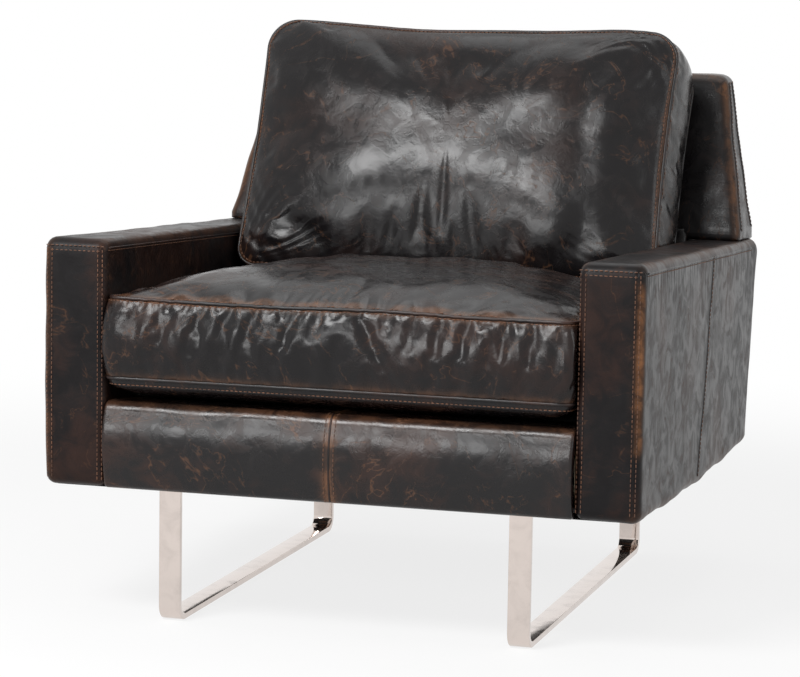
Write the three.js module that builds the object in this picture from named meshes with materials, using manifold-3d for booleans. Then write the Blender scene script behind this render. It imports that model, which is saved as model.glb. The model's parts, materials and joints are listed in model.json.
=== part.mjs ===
// Worn club chair: glossy brown leather over a hardwood frame, a loose seat cushion on wire
// springs, a loose back cushion and two sled legs of bent flat bar.
// Millimetres, +Z up, +Y to the rear, +X to the right as seen from the front.
// The origin is on the floor under the middle of the chair.
import * as THREE from 'three';
import { mergeVertices } from 'three/addons/utils/BufferGeometryUtils.js';
import Module from 'manifold-3d';

const wasm = await Module();
wasm.setup();

// Body: the shape that the arms and the back share, with y measured from the arm fronts.
const chairWidth = 810;
const armWidth = 86;
const armFrontHeight = 515;
const armPitchDeg = 3.1;
const frontClearance = 184;
const bodyPitchDeg = 0.9;
const bodyDepth = 767.5;
const rearRakeDeg = 9.8;

// Cover leather, foam and the play between pieces that touch.
const leather = 2;
const fit = 0.3;
const armFoam = 18;
const armEdgeRadius = 13;
const armFrontCorner = 16;
const armRearCorner = 26;
const armFootCorner = 14;

// Back: a wedge that stands between the arms and spreads over their rear ends.
const backTopHeight = 713;
const wingRise = 13.6;
const wingInset = 10;
const wingTaperDeg = 10.8;
const backFootDepth = 140.3;
const backTopThickness = 50.32;
const backEdgeRadius = 14;
const backTopTurnDeg = 88;
const backFoam = 14;
const strapHeight = 50;
const strapThickness = 2.5;
const strapCount = 3;
const sidePanelThickness = 24;
const sidePanelBorder = 34;
const windowCorner = 6;
const windowTopWidth = 27;
const topRailHeight = 28;
const wingRailHeight = 42;
const wingRailThickness = 25;
const slatThickness = 20;
const slatDepth = 28;

// Seat box, springs and deck.
const deckFrontHeight = 301;
const seatPitchDeg = 3.1;
const railThickness = 25;
const railFaceDepth = 9;
const railBulge = 9;
const railNose = 15;
const railFoot = 6;
const deckLap = 96;
const flangeDepth = 30;
const blockLeg = 112;
const blockHeight = 46;
const deckPadEdge = 17;
const springCrown = 7;
const springCount = 4;
const springHalfWidth = 24;
const springBars = 15;
const wireRadius = 1.9;
const clipStock = 1.2;
const clipWidth = 16;
const clipTail = 12;
const clipTurnDeg = 225;

// Arm frame members.
const frameThickness = 45;
const armPostDepth = 44;
const armTopRailHeight = 32;
const armBottomRailHeight = 62;

// Seat cushion, measured along and square to the deck.
const seatFront = -14;
const seatRearPlay = 8.2;
const seatLean = 5;
const seatLowerSeam = 32;
const seatUpperSeam = 136;
const seatCrown = 37;
const seatCorner = 16;
const cushionPull = 5;
const seamRidge = 2.5;
const seamDip = 1;
const boxingBelly = 5;
const underFullness = 5;
const seatFullness = 2.3;
const gatherDepth = 4.5;
const gatherPitch = 41;
const gatherLean = 22;
const gatherLeft = -190;
const gatherRight = 240;
const gatherSpread = 100;
const gatherFoot = 0.45;
const gatherQuiet = 0.25;

// Back cushion, measured along and square to the inside back.
const backCushionPlay = 7;
const backCushionBottom = 91.6;
const backCushionTop = 452.6;
const backRearSeam = 36;
const backFrontSeam = 166;
const backCrown = 41;
const backFullness = 3.2;
const backSlump = 9;
const backLowerCorner = 30;
const backUpperCorner = 44;
const coverWall = 9;
const zipHalfLength = 200;
const zipHeight = 4;
const zipReach = 54;

// Sled legs of bent flat bar, with a flat strap welded across under the body.
const legInset = 78;
const barWidth = 30;
const barThickness = 8;
const bendRadius = 22;
const legFront = 40;
const legRearInset = 39.5;
const legStrap = 4;
const dustCloth = 1;
const dustBorder = 14;
const screwInset = 26;
const screwRadius = 3;
const screwHead = 6;
const screwHeadFlat = 4.2;
const screwHeadHeight = 3;
const screwLength = 40;

// Lines of the side view.
const armInner = chairWidth / 2 - armWidth;
const armOuter = chairWidth / 2;
const bodyHalf = armInner - fit;
const wingHalfWidth = armOuter - wingInset;
const backCushionHalfWidth = armInner - backCushionPlay;
const legCentre = armInner - legInset;
const legRear = bodyDepth - legRearInset;
const springPitch = (2 * armInner) / (springCount + 1);
const slope = (degrees) => Math.tan(THREE.MathUtils.degToRad(degrees));
const underside = (y) => frontClearance - y * slope(bodyPitchDeg);
const armTop = (y) => armFrontHeight - y * slope(armPitchDeg);
const deckTop = (y) => deckFrontHeight - y * slope(seatPitchDeg);
const wingHeight = armTop(bodyDepth) + wingRise;
const rearFace = (z) => bodyDepth + (z - underside(bodyDepth)) * slope(rearRakeDeg);
const deckRear = bodyDepth - backFootDepth;
const backTopFront = rearFace(backTopHeight) - backTopThickness;
const backRake = Math.atan2(backTopFront - deckRear, backTopHeight - deckFrontHeight);
const insideBack = (z) => deckRear + (z - deckFrontHeight) * Math.tan(backRake);
const seatRear = deckRear - seatRearPlay;
const backHalf = (z) => wingHalfWidth - (z - wingHeight) * slope(wingTaperDeg);
const woodBottom = (y) => underside(y) + leather + fit;
const railTop = (y) => deckTop(y) - deckPadEdge - 2 * (wireRadius + clipStock) - 3 * fit;
const point = (y, z) => new THREE.Vector2(y, z);

const leatherLook = { color: 0x2b1d18, roughness: 0.34, metalness: 0 };
const woodLook = { color: 0xa9825a, roughness: 0.7, metalness: 0 };
const foamLook = { color: 0xe3dcc6, roughness: 0.95, metalness: 0 };
const clothLook = { color: 0x17171a, roughness: 0.95, metalness: 0 };
const steelLook = { color: 0x8f9296, roughness: 0.4, metalness: 1 };
const chromeLook = { color: 0xd8d6d2, roughness: 0.08, metalness: 1 };

const chair = new THREE.Group();

/** Adds one named piece with a material of its own. */
function add(name, geometry, look) {
  const mesh = new THREE.Mesh(geometry, new THREE.MeshStandardMaterial(look));
  mesh.name = name;
  chair.add(mesh);
  return mesh;
}

/** Closed geometry as a solid, with its shared points merged. */
function solid(geometry) {
  const bare = new THREE.BufferGeometry();
  bare.setAttribute('position', geometry.getAttribute('position'));
  bare.setIndex(geometry.getIndex());
  const merged = mergeVertices(bare, 1e-3);
  return new wasm.Manifold(new wasm.Mesh({
    numProp: 3,
    vertProperties: merged.getAttribute('position').array,
    triVerts: new Uint32Array(merged.getIndex().array),
  }));
}

/** Solid back to geometry. */
function geometryOf(body) {
  const mesh = body.getMesh();
  const geometry = new THREE.BufferGeometry();
  geometry.setAttribute('position', new THREE.BufferAttribute(mesh.vertProperties, 3));
  geometry.setIndex(new THREE.BufferAttribute(mesh.triVerts, 1));
  geometry.computeVertexNormals();
  return geometry;
}

const cut = (body, ...tools) =>
  geometryOf(tools.reduce((rest, tool) => rest.subtract(solid(tool)), solid(body)));
const join = (body, ...more) =>
  geometryOf(more.reduce((whole, piece) => whole.add(solid(piece)), solid(body)));
const common = (body, other) => geometryOf(solid(body).intersect(solid(other)));

/** Outline through corner points, each rounded by its radius. */
function outline(corners, radii = []) {
  const shape = new THREE.Shape();
  corners.forEach((corner, i) => {
    const radius = radii[i] ?? 0;
    const before = corners.at(i - 1).clone().sub(corner).setLength(radius);
    const after = corners[(i + 1) % corners.length].clone().sub(corner).setLength(radius);
    if (i === 0) shape.moveTo(corner.x + before.x, corner.y + before.y);
    else shape.lineTo(corner.x + before.x, corner.y + before.y);
    if (radius > 0) shape.quadraticCurveTo(corner.x, corner.y, corner.x + after.x, corner.y + after.y);
  });
  shape.closePath();
  return shape;
}

/** Corners of an anticlockwise outline moved inwards by a distance. */
function inset(corners, distance) {
  return corners.map((corner, i) => {
    const arriving = corner.clone().sub(corners.at(i - 1)).normalize();
    const leaving = corners[(i + 1) % corners.length].clone().sub(corner).normalize();
    const inward = point(-arriving.y - leaving.y, arriving.x + leaving.x);
    return corner.clone().addScaledVector(inward, distance / (1 + arriving.dot(leaving)));
  });
}

/** Prism of a side outline (y, z) from x0 to x1. */
function acrossX(shape, x0, x1) {
  const look = { depth: x1 - x0, curveSegments: 5, bevelEnabled: false };
  const geometry = new THREE.ExtrudeGeometry(shape, look);
  geometry.translate(0, 0, x0);
  const yAxis = new THREE.Vector3(0, 1, 0);
  const zAxis = new THREE.Vector3(0, 0, 1);
  const xAxis = new THREE.Vector3(1, 0, 0);
  return geometry.applyMatrix4(new THREE.Matrix4().makeBasis(yAxis, zAxis, xAxis));
}

/** The same prism between two distances from the centre plane, on one side of it. */
function onSide(side, shape, near, far) {
  return side > 0 ? acrossX(shape, near, far) : acrossX(shape, -far, -near);
}

/** Prism of side-view corners from x0 to x1 whose corners and side edges are all rounded. */
function softPrism(corners, radii, x0, x1, edge) {
  const steps = 2;
  const cornerSteps = 3;
  const ring = (x, drawnIn) => {
    const tight = radii.map((radius) => Math.max(radius - drawnIn, 1));
    const drawn = outline(inset(corners, drawnIn), tight);
    return ringPoints(drawn, cornerSteps).map((p) => new THREE.Vector3(x, p.x, p.y));
  };
  const rings = [];
  for (let step = 0; step <= steps; step += 1) {
    const turn = (step / steps) * (Math.PI / 2);
    rings.push([edge * (1 - Math.cos(turn)), edge * (1 - Math.sin(turn))]);
  }
  return loft([
    ...rings.map(([along, drawnIn]) => ring(x0 + along, drawnIn)),
    ...rings.reverse().map(([along, drawnIn]) => ring(x1 - along, drawnIn)),
  ]);
}

/** Closed skin through a stack of rings, each anticlockwise as seen from the last one. */
function loft(rings) {
  const count = rings[0].length;
  const last = (rings.length - 1) * count;
  const points = rings.flat();
  const middle = (ring) => ring.reduce((sum, p) => sum.add(p), new THREE.Vector3()).divideScalar(count);
  points.push(middle(rings[0]), middle(rings.at(-1)));
  const index = [];
  for (let i = 0; i < count; i += 1) {
    const next = (i + 1) % count;
    for (let base = 0; base < last; base += count) {
      index.push(base + i, base + next, base + count + next);
      index.push(base + i, base + count + next, base + count + i);
    }
    index.push(last + count, next, i);
    index.push(last + count + 1, last + i, last + next);
  }
  const geometry = new THREE.BufferGeometry().setFromPoints(points);
  geometry.setIndex(index);
  geometry.computeVertexNormals();
  return geometry;
}

/** Points of a closed outline, without the doubled last one. */
function ringPoints(shape, segments) {
  const points = shape.getPoints(segments);
  return points.at(-1).distanceTo(points[0]) < 1e-6 ? points.slice(0, -1) : points;
}

/** Side-view band between two lines z(y), long enough to pass right through the chair. */
function levelBand(lower, upper, near, far, side = 1) {
  const beyond = 200;
  const ends = [-beyond, bodyDepth + beyond];
  const corners = [point(ends[0], lower(ends[0])), point(ends[1], lower(ends[1])),
    point(ends[1], upper(ends[1])), point(ends[0], upper(ends[0]))];
  return onSide(side, outline(corners), near, far);
}

/** Side-view band ahead of the rear face, from one distance to another, between two heights. */
function rearBand(ahead, behind, low, high) {
  return outline([
    point(rearFace(low) - ahead, low),
    point(rearFace(low) - behind, low),
    point(rearFace(high) - behind, high),
    point(rearFace(high) - ahead, high),
  ]);
}

/** Corners of an arm's side view: foot front, foot rear, top rear, top front. */
function armCorners() {
  const rise = armFrontHeight - underside(bodyDepth);
  const rearTopY = (bodyDepth + rise * slope(rearRakeDeg)) / (1 + slope(armPitchDeg) * slope(rearRakeDeg));
  return [
    point(0, underside(0)),
    point(bodyDepth, underside(bodyDepth)),
    point(rearTopY, armTop(rearTopY)),
    point(0, armTop(0)),
  ];
}

/** An arm's form drawn in by a distance on every side. */
function armForm(side, drawnIn) {
  const radii = [armFootCorner, armFootCorner, armRearCorner, armFrontCorner].map((r) => r - drawnIn);
  const ends = [side * (armInner + drawnIn), side * (armOuter - drawnIn)].sort((a, b) => a - b);
  return softPrism(inset(armCorners(), drawnIn), radii, ends[0], ends[1], armEdgeRadius - drawnIn);
}

/** Sewn arm cover, its foam wrap and the frame in the bay under them. */
function addArm(side, word) {
  const middle = (armInner + armOuter) / 2;
  const near = middle - frameThickness / 2;
  const far = middle + frameThickness / 2;
  const bayDepth = leather + fit + armFoam;
  const column = onSide(side, bayColumn(bayDepth), near - fit, far + fit);
  const below = (y) => underside(y) - armFootCorner;
  const openFoot = (upper) => common(levelBand(below, upper, near - fit, far + fit, side), column);
  const bay = onSide(side, outline(inset(armCorners(), bayDepth)), near - fit, far + fit);
  const hollow = join(bay, openFoot((y) => underside(y) + bayDepth + leather));
  const skin = cut(armForm(side, 0), armForm(side, leather), openFoot(woodBottom));
  add(`arm_cover_${word}`, skin, leatherLook);
  add(`arm_foam_${word}`, cut(armForm(side, leather + fit), hollow), foamLook);
  addArmFrame(side, word, near, far, bayDepth + fit);
}

/** Two rails and two posts that fill an arm's side view, drawn in by a depth. */
function addArmFrame(side, word, near, far, depth) {
  const whole = onSide(side, outline(inset(armCorners(), depth)), near, far);
  const railTopLine = (y) => woodBottom(y) + armBottomRailHeight;
  const topRailLine = (y) => armTop(y) - depth - armTopRailHeight;
  const bottom = levelBand(woodBottom, railTopLine, near, far, side);
  const top = levelBand(topRailLine, armTop, near, far, side);
  add(`arm_bottom_rail_${word}`, common(bottom, onSide(side, bayColumn(depth), near, far)), woodLook);
  add(`arm_top_rail_${word}`, common(whole, top), woodLook);

  const between = levelBand((y) => railTopLine(y) + fit, (y) => topRailLine(y) - fit, near, far, side);
  const posts = common(whole, between);
  const postRear = depth + armPostDepth;
  const front = outline([point(0, 0), point(postRear, 0), point(postRear, armFrontHeight),
    point(0, armFrontHeight)]);
  const rear = rearBand(postRear, 0, 0, armFrontHeight);
  add(`arm_front_post_${word}`, common(posts, onSide(side, front, near, far)), woodLook);
  add(`arm_rear_post_${word}`, common(posts, onSide(side, rear, near, far)), woodLook);
}

/** Side view of the bay's reach from front to rear, carried down past the underside. */
function bayColumn(drawnIn) {
  const low = underside(bodyDepth) - armFootCorner;
  const behind = drawnIn / Math.cos(THREE.MathUtils.degToRad(rearRakeDeg));
  return outline([
    point(drawnIn, low),
    point(rearFace(low) - behind, low),
    point(rearFace(wingHeight) - behind, wingHeight),
    point(drawnIn, wingHeight),
  ]);
}

/** Level ring of the back's upper wedge, drawn in at its front and sides. */
function backRing(z, drawnIn, rearShift, edgeInset) {
  const half = backHalf(z) - drawnIn - edgeInset;
  const front = insideBack(z) + drawnIn + edgeInset;
  const rear = rearFace(z) + rearShift - edgeInset;
  const radius = backEdgeRadius - drawnIn;
  const shape = outline([point(-half, front), point(half, front), point(half, rear), point(-half, rear)],
    [radius, radius, radius / 2, radius / 2]);
  const cornerSteps = 4;
  return ringPoints(shape, cornerSteps).map((p) => new THREE.Vector3(p.x, p.y, z));
}

/** The back's form: the upper wedge with a rounded top, and the block between the arms. */
function backForm(drawnIn, rearShift, blockFoot) {
  const top = backTopHeight - drawnIn;
  const radius = backEdgeRadius - drawnIn;
  const low = armTop(rearFace(wingHeight)) - backEdgeRadius;
  const rings = [backRing(low, drawnIn, rearShift, 0)];
  const steps = 3;
  for (let step = 0; step <= steps; step += 1) {
    const turn = THREE.MathUtils.degToRad((backTopTurnDeg * step) / steps);
    const edgeInset = radius * (1 - Math.cos(turn));
    rings.push(backRing(top - radius + radius * Math.sin(turn), drawnIn, rearShift, edgeInset));
  }
  const mid = wingHeight + backEdgeRadius;
  const block = outline([
    point(insideBack(blockFoot) + drawnIn, blockFoot),
    point(rearFace(blockFoot) + rearShift, blockFoot),
    point(rearFace(mid) + rearShift, mid),
    point(insideBack(mid) + drawnIn, mid),
  ]);
  return join(loft(rings), acrossX(block, -bodyHalf + drawnIn, bodyHalf - drawnIn));
}

/** Room that an arm takes, with the play around it. */
function armRoom(side) {
  const grown = inset(armCorners(), -fit);
  return onSide(side, outline(grown), armInner - fit, armOuter + wingHalfWidth);
}

/** Leather of the inside back, its wings and top, and the outside back panel behind it. */
function addBackCovers() {
  const foot = deckTop(deckRear) + fit;
  const closedRear = -leather - fit;
  const outer = backForm(0, closedRear, foot);
  const inner = backForm(leather, backEdgeRadius, foot - deckPadEdge);
  add('back_cover', cut(outer, inner, armRoom(-1), armRoom(1)), leatherLook);

  const full = backForm(0, 0, underside(bodyDepth));
  const sheet = acrossX(rearBand(leather, -leather, 0, backTopHeight + leather), -armOuter, armOuter);
  add('outside_back_panel', common(cut(full, armRoom(-1), armRoom(1)), sheet), leatherLook);
}

/** Distances behind the inside back's leather face, measured level. */
const level = (square) => square / Math.cos(backRake);
const foamFace = level(leather + fit);
const strapFace = foamFace + level(backFoam + fit);
const panelFace = strapFace + level(strapThickness + fit);

/** Side panels, rails and slats that make the back frame. */
function addBackFrame() {
  const rearGap = leather + 2 * fit;
  const topRailFoot = backTopHeight - leather - fit - topRailHeight;
  const panelTop = topRailFoot - fit;
  const near = bodyHalf - leather - fit - sidePanelThickness;
  const far = bodyHalf - leather - fit;
  const wingRailTop = wingHeight + wingRailHeight;
  const railHalf = backHalf(wingRailTop) - leather - fit;
  const railFront = rearGap + wingRailThickness;
  const wingRail = rearBand(railFront, rearGap, wingHeight, wingRailTop);
  const notch = acrossX(
    rearBand(railFront + fit, -leather, wingHeight - fit, wingRailTop + fit), -railHalf, railHalf);
  add('back_wing_rail', acrossX(wingRail, -railHalf, railHalf), woodLook);
  const topRailHalf = backHalf(backTopHeight) - backEdgeRadius;
  const topRail = outline([
    point(insideBack(topRailFoot) + panelFace, topRailFoot),
    point(rearFace(topRailFoot) - rearGap - backEdgeRadius / 2, topRailFoot),
    point(rearFace(topRailFoot + topRailHeight) - rearGap - backEdgeRadius, topRailFoot + topRailHeight),
    point(insideBack(topRailFoot + topRailHeight) + panelFace, topRailFoot + topRailHeight),
  ]);
  add('back_top_rail', acrossX(topRail, -topRailHalf, topRailHalf), woodLook);
  const footRear = rearFace(woodBottom(bodyDepth)) - rearGap;
  const frontFoot = insideBack(deckTop(deckRear)) + panelFace;
  const corners = [
    point(rearRailBack() + fit, woodBottom(bodyDepth)),
    point(footRear, woodBottom(bodyDepth)),
    point(rearFace(panelTop) - rearGap, panelTop),
    point(insideBack(panelTop) + panelFace, panelTop),
    point(frontFoot, deckTop(deckRear)),
    point(frontFoot, railTop(frontFoot) + fit),
    point(rearRailBack() + fit, railTop(rearRailBack()) + fit),
  ];
  const window = windowCorners(rearGap);
  for (const [side, word] of [[-1, 'left'], [1, 'right']]) {
    const panel = onSide(side, outline(corners), near, far);
    const opening = onSide(side, outline(window, window.map(() => windowCorner)), near - fit, far + fit);
    add(`back_side_panel_${word}`, cut(panel, notch, opening), woodLook);
    const slat = [wingRailTop + fit, topRailFoot - fit].map((z) => slatRing(side, z, rearGap));
    add(`wing_slat_${word}`, loft(slat), woodLook);
  }
}

/** Window cut in a back side panel: between its borders, up to where it grows narrow. */
function windowCorners(rearGap) {
  const low = deckTop(deckRear) + sidePanelBorder;
  const front = (z) => insideBack(z) + panelFace + sidePanelBorder;
  const rear = (z) => rearFace(z) - rearGap - sidePanelBorder;
  const narrowing = Math.tan(backRake) - slope(rearRakeDeg);
  const narrowAt = low + (rear(low) - front(low) - windowTopWidth) / narrowing;
  const high = Math.min(narrowAt, wingHeight - sidePanelBorder / 2);
  return [point(front(low), low), point(rear(low), low), point(rear(high), high), point(front(high), high)];
}

/** Level section of a wing slat, which stands against the wing's leather side. */
function slatRing(side, z, rearGap) {
  const outer = backHalf(z) - leather - fit;
  const rear = rearFace(z) - rearGap - backEdgeRadius / 2;
  const xs = [side * outer, side * (outer - slatThickness)].sort((a, b) => a - b);
  return [[xs[0], rear - slatDepth], [xs[1], rear - slatDepth], [xs[1], rear], [xs[0], rear]]
    .map(([x, y]) => new THREE.Vector3(x, y, z));
}

/** Foam and webbing straps that lie along the inside back. */
function addBackPadding() {
  const low = deckTop(deckRear) + leather;
  const high = backTopHeight - leather - 2 * fit - backEdgeRadius;
  const half = bodyHalf - leather - fit;
  const foam = outline([
    point(insideBack(low) + foamFace, low),
    point(insideBack(low) + strapFace - level(fit), low),
    point(insideBack(high) + strapFace - level(fit), high),
    point(insideBack(high) + foamFace, high),
  ]);
  add('back_foam', acrossX(foam, -half, half), foamLook);
  const reach = backTopHeight - topRailHeight - deckFrontHeight;
  for (let i = 0; i < strapCount; i += 1) {
    const z = deckFrontHeight + (reach * (i + 1)) / (strapCount + 1);
    const strap = new THREE.BoxGeometry(2 * half, strapHeight, strapThickness);
    const mesh = add(`back_strap_${i + 1}`, strap, clothLook);
    mesh.rotation.x = Math.PI / 2 - backRake;
    mesh.position.set(0, insideBack(z) + strapFace + level(strapThickness) / 2, z);
  }
}

/** Rear face of the seat box, which the back side panels stand against. */
function rearRailBack() {
  return rearFace(woodBottom(bodyDepth)) - leather - 2 * fit - sidePanelBorder;
}

/** Hardwood seat box: front, rear and side rails with a block in each corner. */
function addSeatBox() {
  const front = railFaceDepth;
  const rear = rearRailBack();
  const rail = (y) => outline([
    point(y, woodBottom(y)),
    point(y + railThickness, woodBottom(y + railThickness)),
    point(y + railThickness, railTop(y + railThickness)),
    point(y, railTop(y)),
  ]);
  add('front_rail', acrossX(rail(front), -bodyHalf, bodyHalf), woodLook);
  add('rear_rail', acrossX(rail(rear - railThickness), -bodyHalf, bodyHalf), woodLook);
  const boxFront = front + railThickness + fit;
  const boxRear = rear - railThickness - fit;
  const sideRail = outline([point(boxFront, woodBottom(boxFront)), point(boxRear, woodBottom(boxRear)),
    point(boxRear, railTop(boxRear)), point(boxFront, railTop(boxFront))]);
  for (const [side, word] of [[-1, 'left'], [1, 'right']]) {
    add(`side_rail_${word}`, onSide(side, sideRail, bodyHalf - railThickness, bodyHalf), woodLook);
    addCornerBlock(`corner_block_front_${word}`, side, boxFront + fit, 1);
    addCornerBlock(`corner_block_rear_${word}`, side, boxRear - fit, -1);
  }
}

/** Three-cornered block glued in a corner of the seat box, bored for its leg screw. */
function addCornerBlock(name, side, y, towards) {
  const x = side * (bodyHalf - railThickness - fit);
  const corners = [point(x, y), point(x - side * blockLeg, y), point(x, y + towards * blockLeg)];
  const shape = outline(side * towards > 0 ? corners.reverse() : corners);
  const block = new THREE.ExtrudeGeometry(shape, { depth: blockHeight, bevelEnabled: false });
  block.translate(0, 0, woodBottom(Math.max(y, y + towards * blockLeg)));
  const levelled = common(block, levelBand(woodBottom, armTop, 0, armOuter, side));
  add(name, cut(levelled, screwBore(side, screwY(towards))), woodLook);
}

/** Where a leg's front or rear screw stands, under the middle of its corner block. */
function screwY(towards) {
  return towards > 0 ? legFront + screwInset : rearRailBack() - railThickness - screwInset;
}

/** Upright bore for a leg screw, from under the strap to above the corner block. */
function screwBore(side, y) {
  const low = underside(y) - 2 * barThickness;
  const high = underside(y) + blockHeight + 2 * barThickness;
  const bore = new THREE.CylinderGeometry(screwRadius + fit, screwRadius + fit, high - low, 8);
  bore.rotateX(Math.PI / 2);
  bore.translate(side * legCentre, y, (low + high) / 2);
  return bore;
}

/** Height of a spring's centre line: caught in the clips at its ends, with a low crown between. */
function springLine(y) {
  const first = railFaceDepth + railThickness / 2;
  const last = rearRailBack() - railThickness / 2;
  const along = THREE.MathUtils.clamp((y - first) / (last - first), 0, 1);
  return railTop(y) + clipStock + wireRadius + 2 * fit + springCrown * 4 * along * (1 - along);
}

/** Centre line of a sinuous spring: straight bars across, joined by half-round bends. */
function springPath(x, first, last) {
  const path = [];
  const spacing = (last - first) / (springBars - 1);
  const bendSteps = 3;
  for (let bar = 0; bar < springBars; bar += 1) {
    const towards = bar % 2 === 0 ? 1 : -1;
    const y = first + bar * spacing;
    path.push(new THREE.Vector3(x - towards * springHalfWidth, y, 0));
    const turns = bar < springBars - 1 ? bendSteps : 1;
    for (let step = 0; step < turns; step += 1) {
      const angle = (step / bendSteps) * Math.PI;
      const reach = springHalfWidth + (spacing / 2) * Math.sin(angle);
      path.push(new THREE.Vector3(x + towards * reach, y + (spacing / 2) * (1 - Math.cos(angle)), 0));
    }
  }
  path.forEach((p) => p.setZ(springLine(p.y)));
  return path;
}

/** Round wire along a path that lies nearly level, mitred at each point. */
function wireAlong(path, radius, sides) {
  const up = new THREE.Vector3(0, 0, 1);
  return loft(path.map((p, i) => {
    const arriving = p.clone().sub(path[Math.max(i - 1, 0)]).normalize();
    const leaving = path[Math.min(i + 1, path.length - 1)].clone().sub(p).normalize();
    const along = arriving.add(leaving).normalize();
    const stretch = i > 0 && i < path.length - 1 ? 1 / along.dot(leaving) : 1;
    const across = new THREE.Vector3().crossVectors(up, along);
    return Array.from({ length: sides }, (_, corner) => {
      const angle = (corner / sides) * 2 * Math.PI;
      return p.clone()
        .addScaledVector(across, radius * stretch * Math.cos(angle))
        .addScaledVector(up, radius * Math.sin(angle));
    });
  }));
}

/** Springs across the seat box, each held by a clip on the front and the rear rail. */
function addSprings() {
  const first = railFaceDepth + railThickness / 2;
  const last = rearRailBack() - railThickness / 2;
  for (let i = 0; i < springCount; i += 1) {
    const x = (i - (springCount - 1) / 2) * springPitch;
    add(`seat_spring_${i + 1}`, wireAlong(springPath(x, first, last), wireRadius, 5), steelLook);
    addClip(`spring_clip_front_${i + 1}`, x, first, 1);
    addClip(`spring_clip_rear_${i + 1}`, x, last, -1);
  }
}

/** Folded steel clip: a tail on the rail and a hook round the spring's end bar. */
function addClip(name, x, y, inwards) {
  const inner = wireRadius + fit;
  const outer = inner + clipStock;
  const hook = new THREE.Shape();
  const foot = -Math.PI / 2;
  const mouth = foot - THREE.MathUtils.degToRad(clipTurnDeg);
  hook.moveTo(clipTail, -outer);
  hook.absarc(0, 0, outer, foot, mouth, true);
  hook.absarc(0, 0, inner, mouth, foot, false);
  hook.lineTo(clipTail, -inner);
  hook.closePath();
  const strip = new THREE.ExtrudeGeometry(hook, { depth: clipWidth, curveSegments: 3, bevelEnabled: false });
  strip.translate(0, 0, -clipWidth / 2);
  const across = new THREE.Vector3(inwards, 0, 0);
  const along = new THREE.Vector3(0, inwards, 0);
  strip.applyMatrix4(new THREE.Matrix4().makeBasis(along, new THREE.Vector3(0, 0, 1), across));
  const mesh = add(name, strip, steelLook);
  mesh.position.set(x, y, springLine(y));
}

/** Line of the front rail's leather from its turned-in foot, up the face and over the nose. */
function railLine() {
  const path = new THREE.Path();
  const curveSteps = 7;
  path.moveTo(flangeDepth, underside(flangeDepth));
  path.lineTo(railFoot, underside(railFoot));
  path.quadraticCurveTo(0, underside(0), -railFoot / 3, underside(0) + railFoot);
  const middle = (underside(0) + deckTop(0)) / 2;
  path.quadraticCurveTo(-2 * railBulge, middle, -railFoot / 3, deckTop(0) - railNose);
  path.quadraticCurveTo(0, deckTop(0), railNose, deckTop(railNose));
  path.lineTo(deckLap, deckTop(deckLap));
  return path.getPoints(curveSteps);
}

/** Points of an open line moved to its left-hand side by a distance. */
function beside(points, distance) {
  return points.map((p, i) => {
    const before = points[Math.max(i - 1, 0)];
    const after = points[Math.min(i + 1, points.length - 1)];
    const along = after.clone().sub(before).normalize();
    return p.clone().add(point(along.y, -along.x).multiplyScalar(distance));
  });
}

/** Leather of the front rail, the foam under it and the sprung deck behind it. */
function addRailAndDeck() {
  const line = railLine();
  const skin = [...line, ...beside(line, leather).reverse()];
  add('front_rail_cover', acrossX(new THREE.Shape(skin.reverse()), -bodyHalf, bodyHalf), leatherLook);
  const railEnd = railFaceDepth + railThickness;
  const behind = [point(deckLap, railTop(deckLap)), point(flangeDepth, railTop(flangeDepth))];
  const stuffed = new THREE.Shape([...beside(line, leather + fit), ...behind].reverse());
  const woodFront = railFaceDepth - fit;
  const wood = outline([point(woodFront, 0), point(deckLap + railFoot, 0),
    point(deckLap + railFoot, railTop(deckLap) + deckPadEdge / 2),
    point(woodFront, deckTop(0) - deckPadEdge / 2)]);
  const ahead = outline([point(-armWidth, 0), point(railEnd, 0), point(railEnd, armFrontHeight),
    point(-armWidth, armFrontHeight)]);
  const foam = cut(acrossX(stuffed, -bodyHalf, bodyHalf), acrossX(wood, -bodyHalf - fit, bodyHalf + fit));
  add('front_rail_foam', common(foam, acrossX(ahead, -bodyHalf, bodyHalf)), foamLook);
  addDeck(railEnd + fit);
}

/** Deck pad over the springs: stepped down under the leather's lap, arched underneath. */
function addDeck(front) {
  const rear = insideBack(deckTop(bodyDepth)) - fit;
  const steps = 8;
  const pad = new THREE.Shape();
  for (let step = 0; step <= steps; step += 1) {
    const y = front + ((rear - front) * step) / steps;
    const under = springLine(y) + wireRadius + clipStock + 2 * fit;
    if (step === 0) pad.moveTo(y, under);
    else pad.lineTo(y, under);
  }
  pad.lineTo(rear, deckTop(rear) - fit);
  pad.lineTo(deckLap + fit, deckTop(deckLap + fit) - fit);
  pad.lineTo(deckLap + fit, deckTop(deckLap + fit) - leather - 2 * fit);
  pad.lineTo(front, deckTop(front) - leather - 2 * fit);
  pad.closePath();
  add('deck_pad', acrossX(pad, -bodyHalf, bodyHalf), clothLook);
}

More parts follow.
